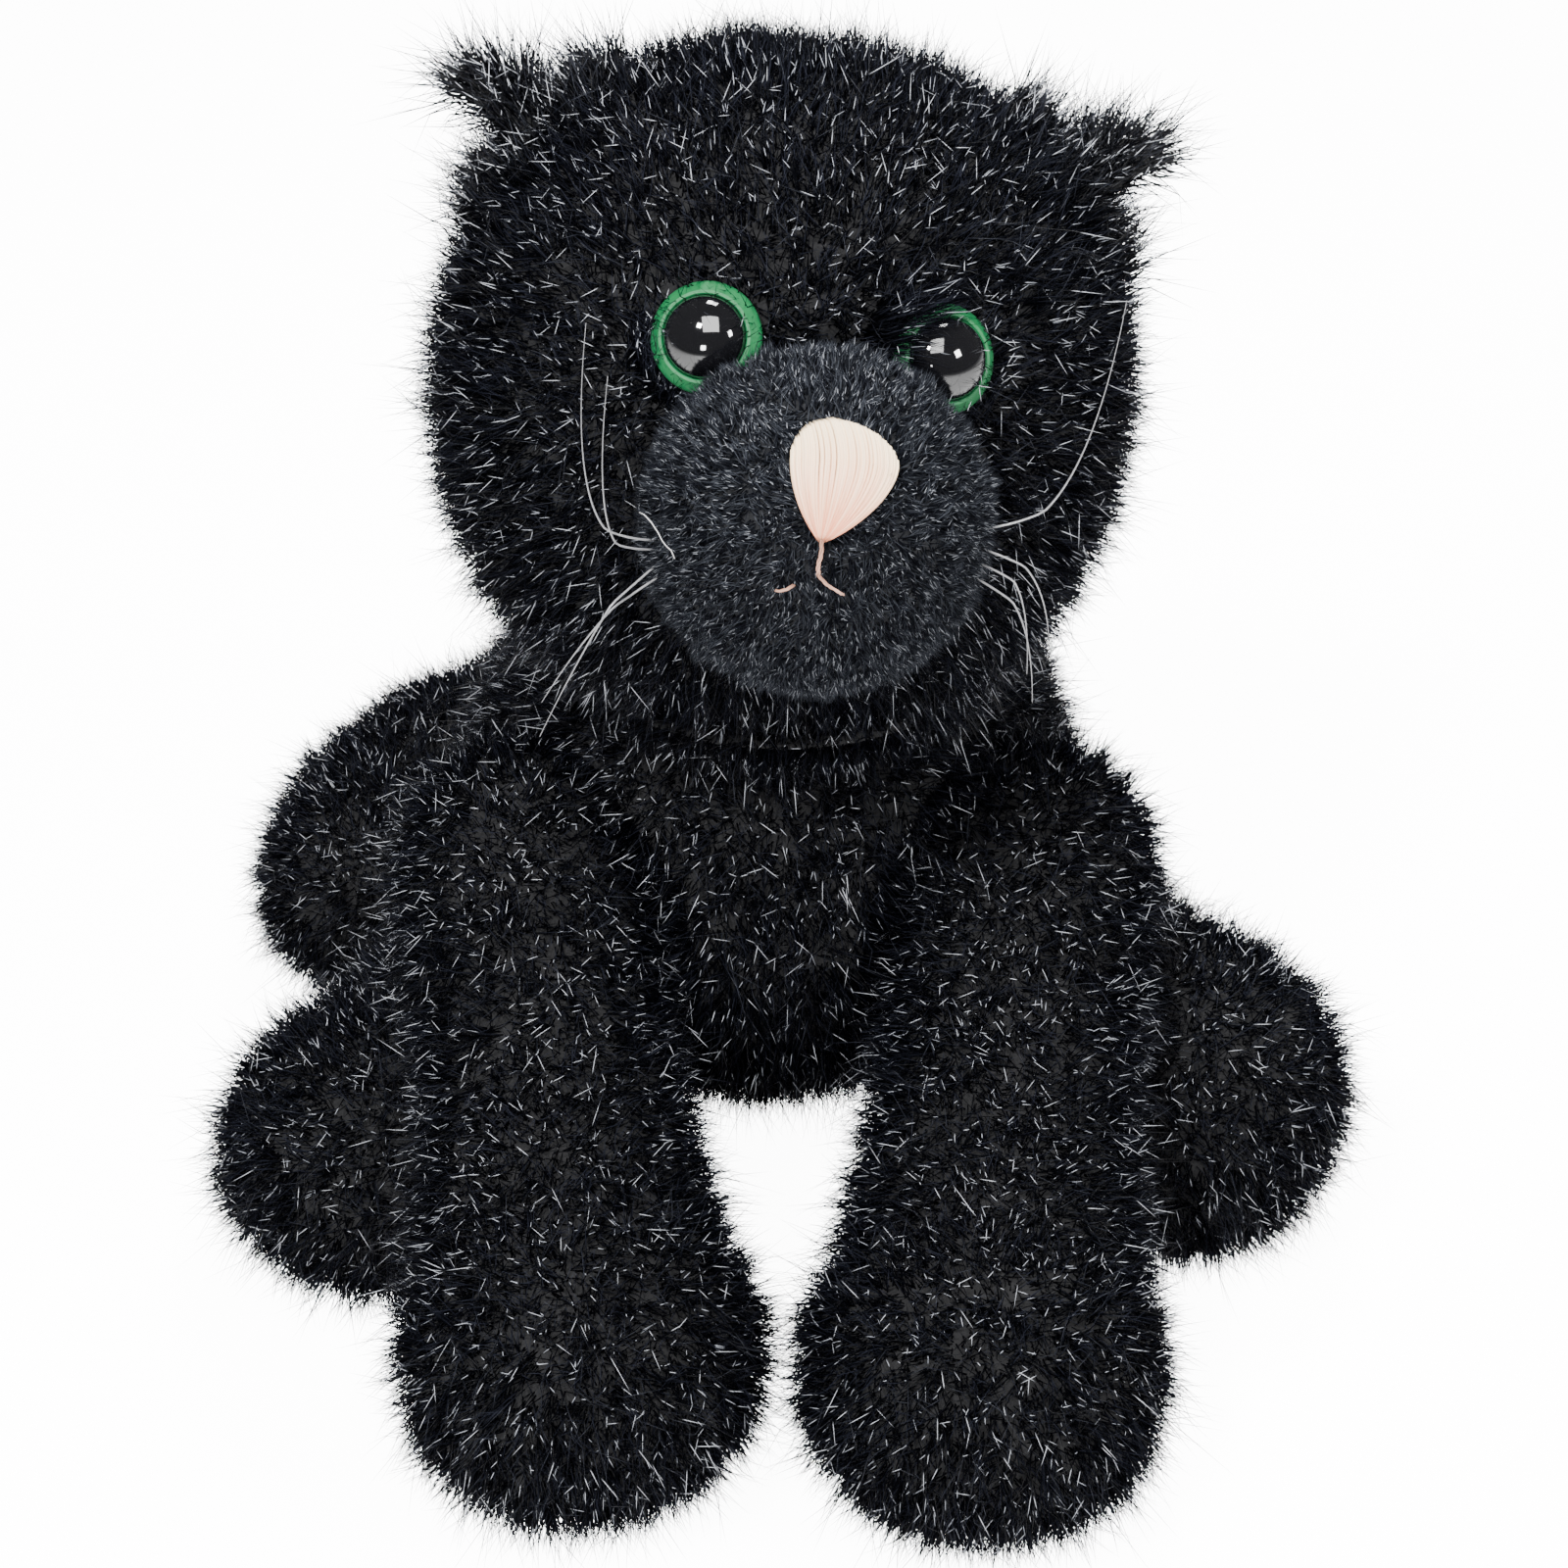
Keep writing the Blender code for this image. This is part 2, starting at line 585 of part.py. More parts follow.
def swing_room(name, frame, turn, radius, reach, axis, swing):
    """The space that a limb's root sweeps over its swing: what the body leaves free for it."""
    local_axis = turn.to_3x3().inverted() @ Vector(axis)
    roomy = (radius + 2.0 * GAP) / math.cos(math.pi / CUT_STEPS)
    bm = bmesh.new()
    for polar in range(100, 181, 20):
        for angle in full_turn(CUT_STEPS):
            size = roomy * math.sin(math.radians(polar))
            height = roomy * math.cos(math.radians(polar))
            bm.verts.new(Vector((size * math.cos(angle), size * math.sin(angle), height)) * MM)
    for degrees in (*swing, sum(swing) / 2.0):
        swung = Matrix.Rotation(math.radians(degrees), 4, local_axis)
        for angle in full_turn(CUT_STEPS):
            for along in (0.0, reach):
                corner = Vector((roomy * math.cos(angle), roomy * math.sin(angle), along))
                bm.verts.new(swung @ (corner * MM))
    hull = bmesh.ops.convex_hull(bm, input=bm.verts)
    inside = {v for v in hull["geom_interior"] + hull["geom_unused"] if isinstance(v, bmesh.types.BMVert)}
    bmesh.ops.delete(bm, geom=list(inside), context="VERTS")
    return as_cutter(finish_mesh("room_" + name, bm, None, frame))


def build_leg(name, leg, finish, floor, body):
    """Two panels and the stuffing, with pellets in the paw. The body's pieces get room for the leg."""
    direction = Vector(leg.paw) - Vector(leg.hip)
    turn = toward(direction) @ Matrix.Rotation(math.radians(leg.roll), 4, "Z")
    frame = empty(name + "_pivot", leg.hip, turn)
    rings = rings_through(leg.stations(), (0, 1, 0))
    sides = ("_outer_panel", "_inner_panel") if leg.hip[0] < 0.0 else ("_inner_panel", "_outer_panel")
    panels = [panel(name + sides[0], rings, (-90.0, 90.0), LEG_STEPS, PLUSH_WALL, finish.long_pile, frame),
              panel(name + sides[1], rings, (90.0, 270.0), LEG_STEPS, PLUSH_WALL, finish.long_pile, frame)]
    cut(panels, floor)
    filled = PLUSH_WALL + GAP
    dome = ellipsoid_stations((0, 0, -1), leg.top_radius - filled, leg.top_radius, leg.top_radius, 4, 0.0, 90.0)
    top = [(centre, wide, high) for centre, wide, high in dome[:-1]]
    middle = [station for station in leg.stations() if station[0].z < 0.62 * direction.length]
    paw = [station for station in leg.stations() if station[0].z >= 0.62 * direction.length]
    solid(name + "_stuffing", rings_through(top + middle, (0, 1, 0)), LEG_STEPS, finish.filling, frame,
          inset=filled)
    pellets = solid(name + "_pellets", rings_through(paw, (0, 1, 0)), LEG_STEPS, finish.pellets, frame,
                    inset=filled + GAP)
    pellets.location.z += GAP * MM
    cut(body, swing_room(name, frame, turn, leg.top_radius + LEG_ROOM, 30.0, leg.swing_axis, leg.swing))


TAIL_PATH = ((-14.0, 75.0, 29.0), (-27.0, 83.0, 23.5), (-42.5, 83.5, 18.5), (-56.5, 76.5, 15.3),
             (-65.5, 63.0, 14.4), (-67.0, 46.0, 14.4))
TAIL_SWING = (-25.0, 3.0)


def build_tail(finish, floor, body):
    """A curved tube that lies round the left side, of an upper and a lower panel."""
    pivot = Vector(TAIL_PATH[0])
    turn = toward(Vector(TAIL_PATH[1]) - pivot)
    frame = empty("tail_pivot", pivot, turn)
    inward = turn.to_3x3().inverted()
    path = [inward @ (Vector(spot) - pivot) for spot in TAIL_PATH]
    last = len(path) - 1
    stations = []
    for i, spot in enumerate(path):
        radius = TAIL_TOP_RADIUS + (TAIL_RADIUS - TAIL_TOP_RADIUS) * min(1.0, 1.6 * i / last)
        stations.append((spot, radius, radius))
    onward = (path[last] - path[last - 1]).normalized()
    for polar in (62.0, 38.0, 17.0, 0.0):
        size = TAIL_RADIUS * math.sin(math.radians(polar)) if polar else 0.0
        stations.append((path[last] + onward * TAIL_RADIUS * math.cos(math.radians(polar)), size, size))
    rings = rings_through(stations, inward @ Vector((0, 0, 1)))
    panels = [panel("tail_upper_panel", rings, (0.0, 180.0), LEG_STEPS, PLUSH_WALL, finish.long_pile, frame),
              panel("tail_lower_panel", rings, (180.0, 360.0), LEG_STEPS, PLUSH_WALL, finish.long_pile, frame)]
    cut(panels, floor)
    solid("tail_stuffing", rings, LEG_STEPS, finish.filling, frame, inset=PLUSH_WALL + GAP)
    cut(body, swing_room("tail", frame, turn, TAIL_TOP_RADIUS, 14.0, (0.0, 0.0, 1.0), TAIL_SWING))


def build_neck(finish):
    """The gathered gusset between the head and the chest: a dish round the head's centre."""
    outer = head_clearance() + GAP + NECK_GUSSET_WALL
    frame = empty("neck_pivot", HEAD_CENTRE)
    stations = ellipsoid_stations((0, 0, -1), outer, outer, outer, 4, 0.0, NECK_GUSSET_ANGLE)
    cup("neck_gusset", rings_through(stations, (0, 1, 0)), BODY_STEPS, NECK_GUSSET_WALL,
        finish.long_pile, frame)


def head_clearance():
    """The radius round the head's centre that its lower half needs to turn and nod."""
    return HEAD_HALF_HEIGHT + 4.2


def build_torso(finish, floor):
    """The body: two back panels, the belly panel, stuffing, and the pouch of pellets in the belly."""
    turn = Matrix.Rotation(math.radians(-TORSO_PITCH), 4, "X")
    torso = empty("torso_frame", TORSO_CENTRE, turn)
    stations = ellipsoid_stations((0, -1, 0), TORSO_HALF_LENGTH, TORSO_HALF_WIDTH, TORSO_HALF_HEIGHT, 10,
                                  fullness=TORSO_FULLNESS)
    rings = rings_through(stations, (0, 0, 1))
    skins = [panel("torso_back_panel_left", rings, (90.0, 215.0), BODY_STEPS, PLUSH_WALL,
                   finish.long_pile, torso),
             panel("torso_back_panel_right", rings, (-35.0, 90.0), BODY_STEPS, PLUSH_WALL,
                   finish.long_pile, torso),
             panel("belly_panel", rings, (215.0, 325.0), BODY_STEPS, PLUSH_WALL, finish.long_pile, torso)]
    cut(skins, floor)
    stuffing = solid("torso_stuffing", rings, 18, finish.filling, torso, inset=PLUSH_WALL + GAP)
    dish = ball_cutter("head_dish", head_clearance() + 4.0 * GAP + NECK_GUSSET_WALL, 24,
                       bpy.data.objects["neck_pivot"])
    cut([*skins, stuffing], dish)
    return torso, skins, stuffing


def build_pouch(finish, stuffing):
    """An open bag of pellets low in the belly, in a hollow of the stuffing."""
    frame = empty("pouch_frame", (0.0, 38.0, 21.0))
    stations = ellipsoid_stations((0, 0, -1), POUCH_DEPTH, POUCH_HALF_WIDTH, POUCH_HALF_LENGTH, 6, 0.0, 90.0)
    rings = rings_through(stations, (0, 1, 0))
    cup("pellet_pouch", rings, 16, POUCH_WALL, finish.lining, frame)
    solid("belly_pellets", rings, 16, finish.pellets, frame, inset=POUCH_WALL + GAP)
    margin = 2.0 * GAP
    sizes = (POUCH_HALF_WIDTH + margin, POUCH_HALF_LENGTH + margin, 2.0 * POUCH_DEPTH)
    cut([stuffing], ball_cutter("pouch_room", 1.0, 20, frame, sizes))


def build_trims(finish, torso):
    """The blank care label in the rump seam, and the hand-sewn thread that closes the belly."""
    bm = bmesh.new()
    bmesh.ops.create_cube(bm, size=1.0)
    bmesh.ops.scale(bm, vec=(LABEL_THICKNESS * MM, LABEL_LENGTH * MM, LABEL_WIDTH * MM), verts=bm.verts)
    lowest = (LABEL_RISE - LABEL_WIDTH / 2.0) / TORSO_HALF_HEIGHT
    rump = TORSO_HALF_LENGTH * math.sqrt(1.0 - lowest**2) + 2.0 * GAP
    bmesh.ops.translate(bm, verts=bm.verts, vec=(0.0, (rump + LABEL_LENGTH / 2.0) * MM, LABEL_RISE * MM))
    finish_mesh("care_label", bm, finish.label, torso)
    below = TORSO_HALF_HEIGHT + GAP + THREAD_RADIUS
    points = []
    for i in range(9):
        along = math.radians(CLOSING_START + i * CLOSING_STEP)
        points.append((0.0, -TORSO_HALF_LENGTH * math.sin(along) * below / TORSO_HALF_HEIGHT,
                       -below * math.cos(along) ** TORSO_FULLNESS[0]))
    thread("closing_thread", points, THREAD_RADIUS, finish.thread, torso)


def main():
    for old in list(bpy.data.objects):
        bpy.data.objects.remove(old)
    finish = Materials()
    bm = bmesh.new()
    bmesh.ops.create_cube(bm, size=0.4)
    bmesh.ops.translate(bm, verts=bm.verts, vec=(0.0, 0.0, -0.2))
    floor = as_cutter(finish_mesh("floor_cutter", bm, None))
    build_head(finish)
    build_neck(finish)
    torso, skins, stuffing = build_torso(finish, floor)
    for name, leg in LEGS.items():
        build_leg(name, leg, finish, floor, [*skins, stuffing])
    build_tail(finish, floor, [*skins, stuffing])
    build_pouch(finish, stuffing)
    build_trims(finish, torso)
    for made in bpy.data.objects:
        if made.parent is None:
            made.location -= Vector(FOOTPRINT_MIDDLE) * MM


if __name__ == "__main__":
    main()
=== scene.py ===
"""The looks of a black plush cat: fur, short-pile muzzle, glossy eyes, stitched nose, whiskers and ears.

Every plush body is one padded skin made from its packed panels and filling, and its pile is real strands of
mesh rooted on that skin. Metres, +Z up, and the cat faces -Y.
"""

import json
import logging
import math
from collections.abc import Callable
from dataclasses import dataclass, field, replace
from enum import Enum

import bpy
import numpy as np
from mathutils import Euler, Matrix, Vector
from mathutils.bvhtree import BVHTree
from mathutils.kdtree import KDTree

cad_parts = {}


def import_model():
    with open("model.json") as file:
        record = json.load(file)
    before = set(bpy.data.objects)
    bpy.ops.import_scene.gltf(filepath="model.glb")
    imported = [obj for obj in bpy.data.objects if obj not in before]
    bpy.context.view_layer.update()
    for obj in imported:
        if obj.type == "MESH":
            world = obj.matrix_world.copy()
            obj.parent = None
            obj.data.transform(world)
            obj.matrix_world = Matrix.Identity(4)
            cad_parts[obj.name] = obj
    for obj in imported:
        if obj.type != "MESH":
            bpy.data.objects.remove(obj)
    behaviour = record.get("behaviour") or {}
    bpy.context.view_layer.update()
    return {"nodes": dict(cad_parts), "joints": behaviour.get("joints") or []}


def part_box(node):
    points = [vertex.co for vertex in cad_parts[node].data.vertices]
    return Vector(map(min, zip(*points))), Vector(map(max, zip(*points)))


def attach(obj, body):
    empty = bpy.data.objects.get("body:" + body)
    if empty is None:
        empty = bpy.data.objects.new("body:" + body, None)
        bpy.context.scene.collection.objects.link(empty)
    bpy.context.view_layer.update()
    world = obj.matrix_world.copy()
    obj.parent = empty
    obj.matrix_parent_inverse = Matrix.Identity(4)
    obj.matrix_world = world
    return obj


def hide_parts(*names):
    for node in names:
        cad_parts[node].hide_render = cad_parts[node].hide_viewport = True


LOG = logging.getLogger("plush_cat")
MM = 0.001
STRAND_MAP = "OFBake"  # each strand's own map: across is its number, up is from root to tip
MOST_STRANDS_FACES = 180_000  # in one piece
LEAST_LEFT = 0.85  # of a strand, where two bodies press their pile together
Mask = Callable[[np.ndarray, np.ndarray], np.ndarray]  # from points and normals to true or false


class Stage(Enum):
    """The sizes of the studio, in metres."""

    FLOOR = 6.0
    BACKDROP = 5.0
    LENS_MM = 72.0


class Lay(Enum):
    """How the pile of a body is combed."""

    FROM_POINT = "away from a point"
    ALONG = "along one direction"


# ---------------------------------------------------------------- placing


@dataclass(frozen=True)
class HeadFrame:
    """The head's own axes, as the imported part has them."""

    centre: Vector = field(default_factory=lambda: Vector((2.35, -7.71, 125.0)))
    pitch: float = 15.5
    roll: float = 8.0
    yaw: float = 6.5
    muzzle_reach: float = 42.0
    muzzle_drop: float = 11.6
    muzzle_radius: float = 19.8

    def matrix(self) -> Matrix:
        """The turn and place of the head, with lengths in millimetres."""
        turn = Euler((math.radians(-self.pitch), math.radians(self.roll), math.radians(self.yaw)), "YXZ")
        return Matrix.Translation(self.centre) @ turn.to_matrix().to_4x4()

    def muzzle_centre(self) -> Vector:
        """The middle of the muzzle's ball in millimetres."""
        return self.matrix() @ (ray(0.0, -self.muzzle_drop) * self.muzzle_reach)

    def on_muzzle(self, azimuth: float, elevation: float, above: float) -> Vector:
        """A point over the muzzle.

        Args:
            azimuth: Degrees from straight ahead, growing to the right.
            elevation: Degrees above the muzzle's own level.
            above: Height over the backing, in millimetres.

        Returns:
            The point in metres.
        """
        local = ray(0.0, -self.muzzle_drop) * self.muzzle_reach
        local = local + ray(azimuth, elevation) * (self.muzzle_radius + above)
        return (self.matrix() @ local) * MM


def ray(azimuth: float, elevation: float) -> Vector:
    """A unit direction in the head's frame. Straight ahead is -Y.

    Args:
        azimuth: Degrees to the right.
        elevation: Degrees up.

    Returns:
        The direction.
    """
    a, e = math.radians(azimuth), math.radians(elevation)
    return Vector((math.sin(a) * math.cos(e), -math.cos(a) * math.cos(e), math.sin(e)))


# ---------------------------------------------------------------- materials


def socket_in(group: bpy.types.NodeTree, name: str, kind: str, value: float | tuple[float, ...]) -> None:
    """Adds an input to a node group.

    Args:
        group: The group.
        name: The input's name.
        kind: Its socket class.
        value: Its starting value.
    """
    made = group.interface.new_socket(name=name, in_out="INPUT", socket_type=kind)
    made.default_value = value


class FibreToneAndPaintedLight:
    """The colour of a strand: painted shade and light from root to tip, each strand a little different, and
    painted glints.
    """

    name = "fibre_tone"

    @classmethod
    def group(cls) -> bpy.types.NodeTree:
        """The node group, built once."""
        found = bpy.data.node_groups.get(cls.name)
        if found:
            return found
        group = bpy.data.node_groups.new(cls.name, "ShaderNodeTree")
        socket_in(group, "Root", "NodeSocketColor", (0.0, 0.0, 0.0, 1.0))
        socket_in(group, "Tip", "NodeSocketColor", (0.1, 0.1, 0.1, 1.0))
        socket_in(group, "Pale", "NodeSocketColor", (0.3, 0.3, 0.3, 1.0))
        socket_in(group, "Pale Share", "NodeSocketFloat", 0.1)
        socket_in(group, "Glint", "NodeSocketColor", (0.3, 0.3, 0.3, 1.0))
        socket_in(group, "Glint Share", "NodeSocketFloat", 0.1)
        group.interface.new_socket(name="Color", in_out="OUTPUT", socket_type="NodeSocketColor")
        nodes, links = group.nodes, group.links
        given = nodes.new("NodeGroupInput")
        out = nodes.new("NodeGroupOutput")
        uv = nodes.new("ShaderNodeUVMap")
        uv.uv_map = STRAND_MAP
        split = nodes.new("ShaderNodeSeparateXYZ")
        links.new(uv.outputs["UV"], split.inputs[0])
        # The blend from root to tip is painted light: on the fur it is painted shade deep in the pile at the
        # roots; on the nose it is a painted highlight at the top of the pad and painted shade towards its
        # point.
        along = nodes.new("ShaderNodeMapRange")
        along.inputs["From Min"].default_value = 0.1
        along.inputs["From Max"].default_value = 0.9
        links.new(split.outputs["Y"], along.inputs["Value"])
        whole = nodes.new("ShaderNodeMath")
        whole.operation = "MULTIPLY"
        whole.inputs[1].default_value = 256.0
        links.new(split.outputs["X"], whole.inputs[0])
        step = nodes.new("ShaderNodeMath")
        step.operation = "FLOOR"
        links.new(whole.outputs[0], step.inputs[0])
        number = nodes.new("ShaderNodeTexWhiteNoise")
        number.noise_dimensions = "1D"
        links.new(step.outputs[0], number.inputs["W"])
        # A random share of strands take the pale tip; on the fur piles these paler tips are painted sheen.
        chosen = nodes.new("ShaderNodeMath")
        chosen.operation = "LESS_THAN"
        links.new(number.outputs["Value"], chosen.inputs[0])
        links.new(given.outputs["Pale Share"], chosen.inputs[1])
        tip = nodes.new("ShaderNodeMix")
        tip.data_type = "RGBA"
        links.new(chosen.outputs[0], tip.inputs["Factor"])
        links.new(given.outputs["Tip"], tip.inputs["A"])
        links.new(given.outputs["Pale"], tip.inputs["B"])
        tone = nodes.new("ShaderNodeMix")
        tone.data_type = "RGBA"
        links.new(along.outputs["Result"], tone.inputs["Factor"])
        links.new(given.outputs["Root"], tone.inputs["A"])
        links.new(tip.outputs["Result"], tone.inputs["B"])
        shine = cls.glinting(group, given, split.outputs["Y"], number.outputs["Value"],
                             tone.outputs["Result"])
        links.new(shine, out.inputs["Color"])
        return group

    @staticmethod
    def glinting(group: bpy.types.NodeTree, given: bpy.types.Node, along: bpy.types.NodeSocket,
                 number: bpy.types.NodeSocket, tone: bpy.types.NodeSocket) -> bpy.types.NodeSocket:
        """Adds painted glints: a short bright stretch painted part of the way up a share of the strands.

        Args:
            group: The node group.
            given: Its inputs.
            along: How far up the strand.
            number: The strand's own random number.
            tone: The colour so far.

        Returns:
            The colour with the glints.
        """
        nodes, links = group.nodes, group.links
        rest = nodes.new("ShaderNodeMath")
        rest.operation = "SUBTRACT"
        rest.inputs[0].default_value = 1.0
        links.new(given.outputs["Glint Share"], rest.inputs[1])
        last = nodes.new("ShaderNodeMath")
        last.operation = "GREATER_THAN"
        links.new(number, last.inputs[0])
        links.new(rest.outputs[0], last.inputs[1])
        mask = last.outputs[0]
        for low, high in ((0.54, 0.6), (0.82, 0.76)):
            edge = nodes.new("ShaderNodeMapRange")
            edge.inputs["From Min"].default_value = low
            edge.inputs["From Max"].default_value = high
            links.new(along, edge.inputs["Value"])
            both = nodes.new("ShaderNodeMath")
            both.operation = "MULTIPLY"
            links.new(mask, both.inputs[0])
            links.new(edge.outputs["Result"], both.inputs[1])
            mask = both.outputs[0]
        lit = nodes.new("ShaderNodeMix")
        lit.data_type = "RGBA"
        links.new(mask, lit.inputs["Factor"])
        links.new(tone, lit.inputs["A"])
        links.new(given.outputs["Glint"], lit.inputs["B"])
        return lit.outputs["Result"]


class ClothGrain:
    """A fine mottled grain over a surface, as two tones and a height."""

    name = "cloth_grain"

    @classmethod
    def group(cls) -> bpy.types.NodeTree:
        """The node group, built once."""
        found = bpy.data.node_groups.get(cls.name)
        if found:
            return found
        group = bpy.data.node_groups.new(cls.name, "ShaderNodeTree")
        socket_in(group, "Dark", "NodeSocketColor", (0.0, 0.0, 0.0, 1.0))
        socket_in(group, "Light", "NodeSocketColor", (0.1, 0.1, 0.1, 1.0))
        socket_in(group, "Scale", "NodeSocketFloat", 400.0)
        group.interface.new_socket(name="Color", in_out="OUTPUT", socket_type="NodeSocketColor")
        group.interface.new_socket(name="Height", in_out="OUTPUT", socket_type="NodeSocketFloat")
        nodes, links = group.nodes, group.links
        given = nodes.new("NodeGroupInput")
        out = nodes.new("NodeGroupOutput")
        place = nodes.new("ShaderNodeTexCoord")
        noise = nodes.new("ShaderNodeTexNoise")
        noise.inputs["Detail"].default_value = 6.0
        noise.inputs["Roughness"].default_value = 0.65
        links.new(place.outputs["Object"], noise.inputs["Vector"])
        links.new(given.outputs["Scale"], noise.inputs["Scale"])
        tone = nodes.new("ShaderNodeMix")
        tone.data_type = "RGBA"
        links.new(noise.outputs["Fac"], tone.inputs["Factor"])
        links.new(given.outputs["Dark"], tone.inputs["A"])
        links.new(given.outputs["Light"], tone.inputs["B"])
        links.new(tone.outputs["Result"], out.inputs["Color"])
        links.new(noise.outputs["Fac"], out.inputs["Height"])
        return group


def new_material(name: str) -> tuple[bpy.types.Material, bpy.types.Node]:
    """An empty material.

    Args:
        name: Its name.

    Returns:
        The material and its shader node.
    """
    made = bpy.data.materials.new(name)
    made.use_nodes = True
    return made, made.node_tree.nodes["Principled BSDF"]


@dataclass(frozen=True)
class StrandFinish:
    """The finish of a pile."""

    name: str
    # Root to tip carries painted shade and light; pale is a paler tip on a random share, painted sheen on the
    # fur piles; glint is a painted glint.
    root: tuple[float, float, float]
    tip: tuple[float, float, float]
    pale: tuple[float, float, float]
    pale_share: float
    roughness: float
    specular: float = 0.5
    glint: tuple[float, float, float] = (0.3, 0.3, 0.3)
    glint_share: float = 0.0

    def make(self) -> bpy.types.Material:
        """The material, built once."""
        found = bpy.data.materials.get(self.name)
        if found:
            return found
        made, shader = new_material(self.name)
        tree = made.node_tree
        tone = tree.nodes.new("ShaderNodeGroup")
        tone.node_tree = FibreToneAndPaintedLight.group()
        tone.inputs["Root"].default_value = (*self.root, 1.0)
        tone.inputs["Tip"].default_value = (*self.tip, 1.0)
        tone.inputs["Pale"].default_value = (*self.pale, 1.0)
        tone.inputs["Pale Share"].default_value = self.pale_share
        tone.inputs["Glint"].default_value = (*self.glint, 1.0)
        tone.inputs["Glint Share"].default_value = self.glint_share
        tree.links.new(tone.outputs["Color"], shader.inputs["Base Color"])
        shader.inputs["Roughness"].default_value = self.roughness
        shader.inputs["Specular IOR Level"].default_value = self.specular
        return made


@dataclass(frozen=True)
class ClothFinish:
    """The finish of a woven or knitted surface."""

    name: str
    dark: tuple[float, float, float]
    light: tuple[float, float, float]
    scale: float
    roughness: float
    bump: float
    sheen: float = 0.0

    def make(self) -> bpy.types.Material:
        """The material, built once."""
        found = bpy.data.materials.get(self.name)
        if found:
            return found
        made, shader = new_material(self.name)
        tree = made.node_tree
        grain = tree.nodes.new("ShaderNodeGroup")
        grain.node_tree = ClothGrain.group()
        grain.inputs["Dark"].default_value = (*self.dark, 1.0)
        grain.inputs["Light"].default_value = (*self.light, 1.0)
        grain.inputs["Scale"].default_value = self.scale
        tree.links.new(grain.outputs["Color"], shader.inputs["Base Color"])
        bump = tree.nodes.new("ShaderNodeBump")
        bump.inputs["Strength"].default_value = self.bump
        bump.inputs["Distance"].default_value = 0.0004
        tree.links.new(grain.outputs["Height"], bump.inputs["Height"])
        tree.links.new(bump.outputs["Normal"], shader.inputs["Normal"])
        shader.inputs["Roughness"].default_value = self.roughness
        shader.inputs["Sheen Weight"].default_value = self.sheen
        return made


@dataclass(frozen=True)
class MouldedFinish:
    """The finish of a moulded plastic piece, a little darker in blotches."""

    name: str
    dark: tuple[float, float, float]
    light: tuple[float, float, float]
    roughness: float
    coat: float = 0.0
    through: float = 0.0

    def make(self) -> bpy.types.Material:
        """The material, built once."""
        found = bpy.data.materials.get(self.name)
        if found:
            return found
        made, shader = new_material(self.name)
        tree = made.node_tree
        grain = tree.nodes.new("ShaderNodeGroup")
        grain.node_tree = ClothGrain.group()
        grain.inputs["Dark"].default_value = (*self.dark, 1.0)
        grain.inputs["Light"].default_value = (*self.light, 1.0)
        grain.inputs["Scale"].default_value = 90.0
        tree.links.new(grain.outputs["Color"], shader.inputs["Base Color"])
        shader.inputs["Roughness"].default_value = self.roughness
        shader.inputs["Coat Weight"].default_value = self.coat
        shader.inputs["Coat Roughness"].default_value = 0.03
        shader.inputs["Subsurface Weight"].default_value = self.through
        shader.inputs["Subsurface Scale"].default_value = 0.001
        return made


# On the fur piles the dark roots are painted shade deep in the pile, and the pale tips and glints are painted
# sheen and highlights.
LONG_PILE = StrandFinish("long_pile_fibre", (0.0003, 0.0003, 0.0006), (0.0012, 0.0014, 0.0024),
                         (0.014, 0.0155, 0.023), 0.28, 0.4, 0.01, (0.29, 0.305, 0.34), 0.11)
GUARD_FIBRE = StrandFinish("guard_hair_fibre", (0.0003, 0.0003, 0.0006), (0.0022, 0.0025, 0.004),
                           (0.02, 0.022, 0.03), 0.2, 0.3, 0.1, (0.4, 0.415, 0.45), 0.22)
# The muzzle pile's near black roots are painted shade in the gaps between its clumps; its pale tips and
# glints are painted sheen.
SHORT_PILE = StrandFinish("short_pile_fibre", (0.0002, 0.00025, 0.0005), (0.009, 0.0102, 0.0143),
                          (0.05, 0.055, 0.066), 0.3, 0.6, 0.02, (0.2, 0.21, 0.23), 0.16)
BLACK_BACKING = ClothFinish("black_backing", (0.001, 0.001, 0.0015), (0.005, 0.005, 0.006), 900.0, 0.95,
                            0.6)
MUZZLE_BACKING = ClothFinish("muzzle_backing", (0.001, 0.0012, 0.002), (0.004, 0.005, 0.008), 1200.0, 0.95,
                             0.8)
EAR_SATIN = ClothFinish("ear_satin_cloth", (0.42, 0.27, 0.22), (0.62, 0.43, 0.36), 700.0, 0.5, 0.35, 0.4)
# The nose floss is pink; its near white top is a painted highlight and its deeper pink point is painted
# shade.
FLOSS = StrandFinish("nose_floss", (1.0, 0.79, 0.52), (0.74, 0.26, 0.14), (0.84, 0.42, 0.26), 0.3, 0.4, 0.5)
STITCH_FLOSS = StrandFinish("mouth_floss", (0.3, 0.16, 0.11), (0.5, 0.28, 0.2), (0.6, 0.36, 0.28), 0.3, 0.6,
                            0.3)
GREEN_RING = MouldedFinish("eye_green", (0.0, 0.115, 0.03), (0.001, 0.13, 0.036), 0.6)
BLACK_DOME = MouldedFinish("eye_black", (0.002, 0.002, 0.0025), (0.004, 0.004, 0.005), 0.06, 1.0)
BRISTLE = MouldedFinish("bristle_nylon", (0.1, 0.1, 0.105), (0.24, 0.24, 0.25), 0.25, 0.3)
STRAY = MouldedFinish("stray_thread", (0.3, 0.3, 0.3), (0.5, 0.5, 0.5), 0.5)
BLACK_THREAD = ClothFinish("sewing_thread", (0.004, 0.004, 0.005), (0.012, 0.012, 0.014), 1500.0, 0.7, 0.7)
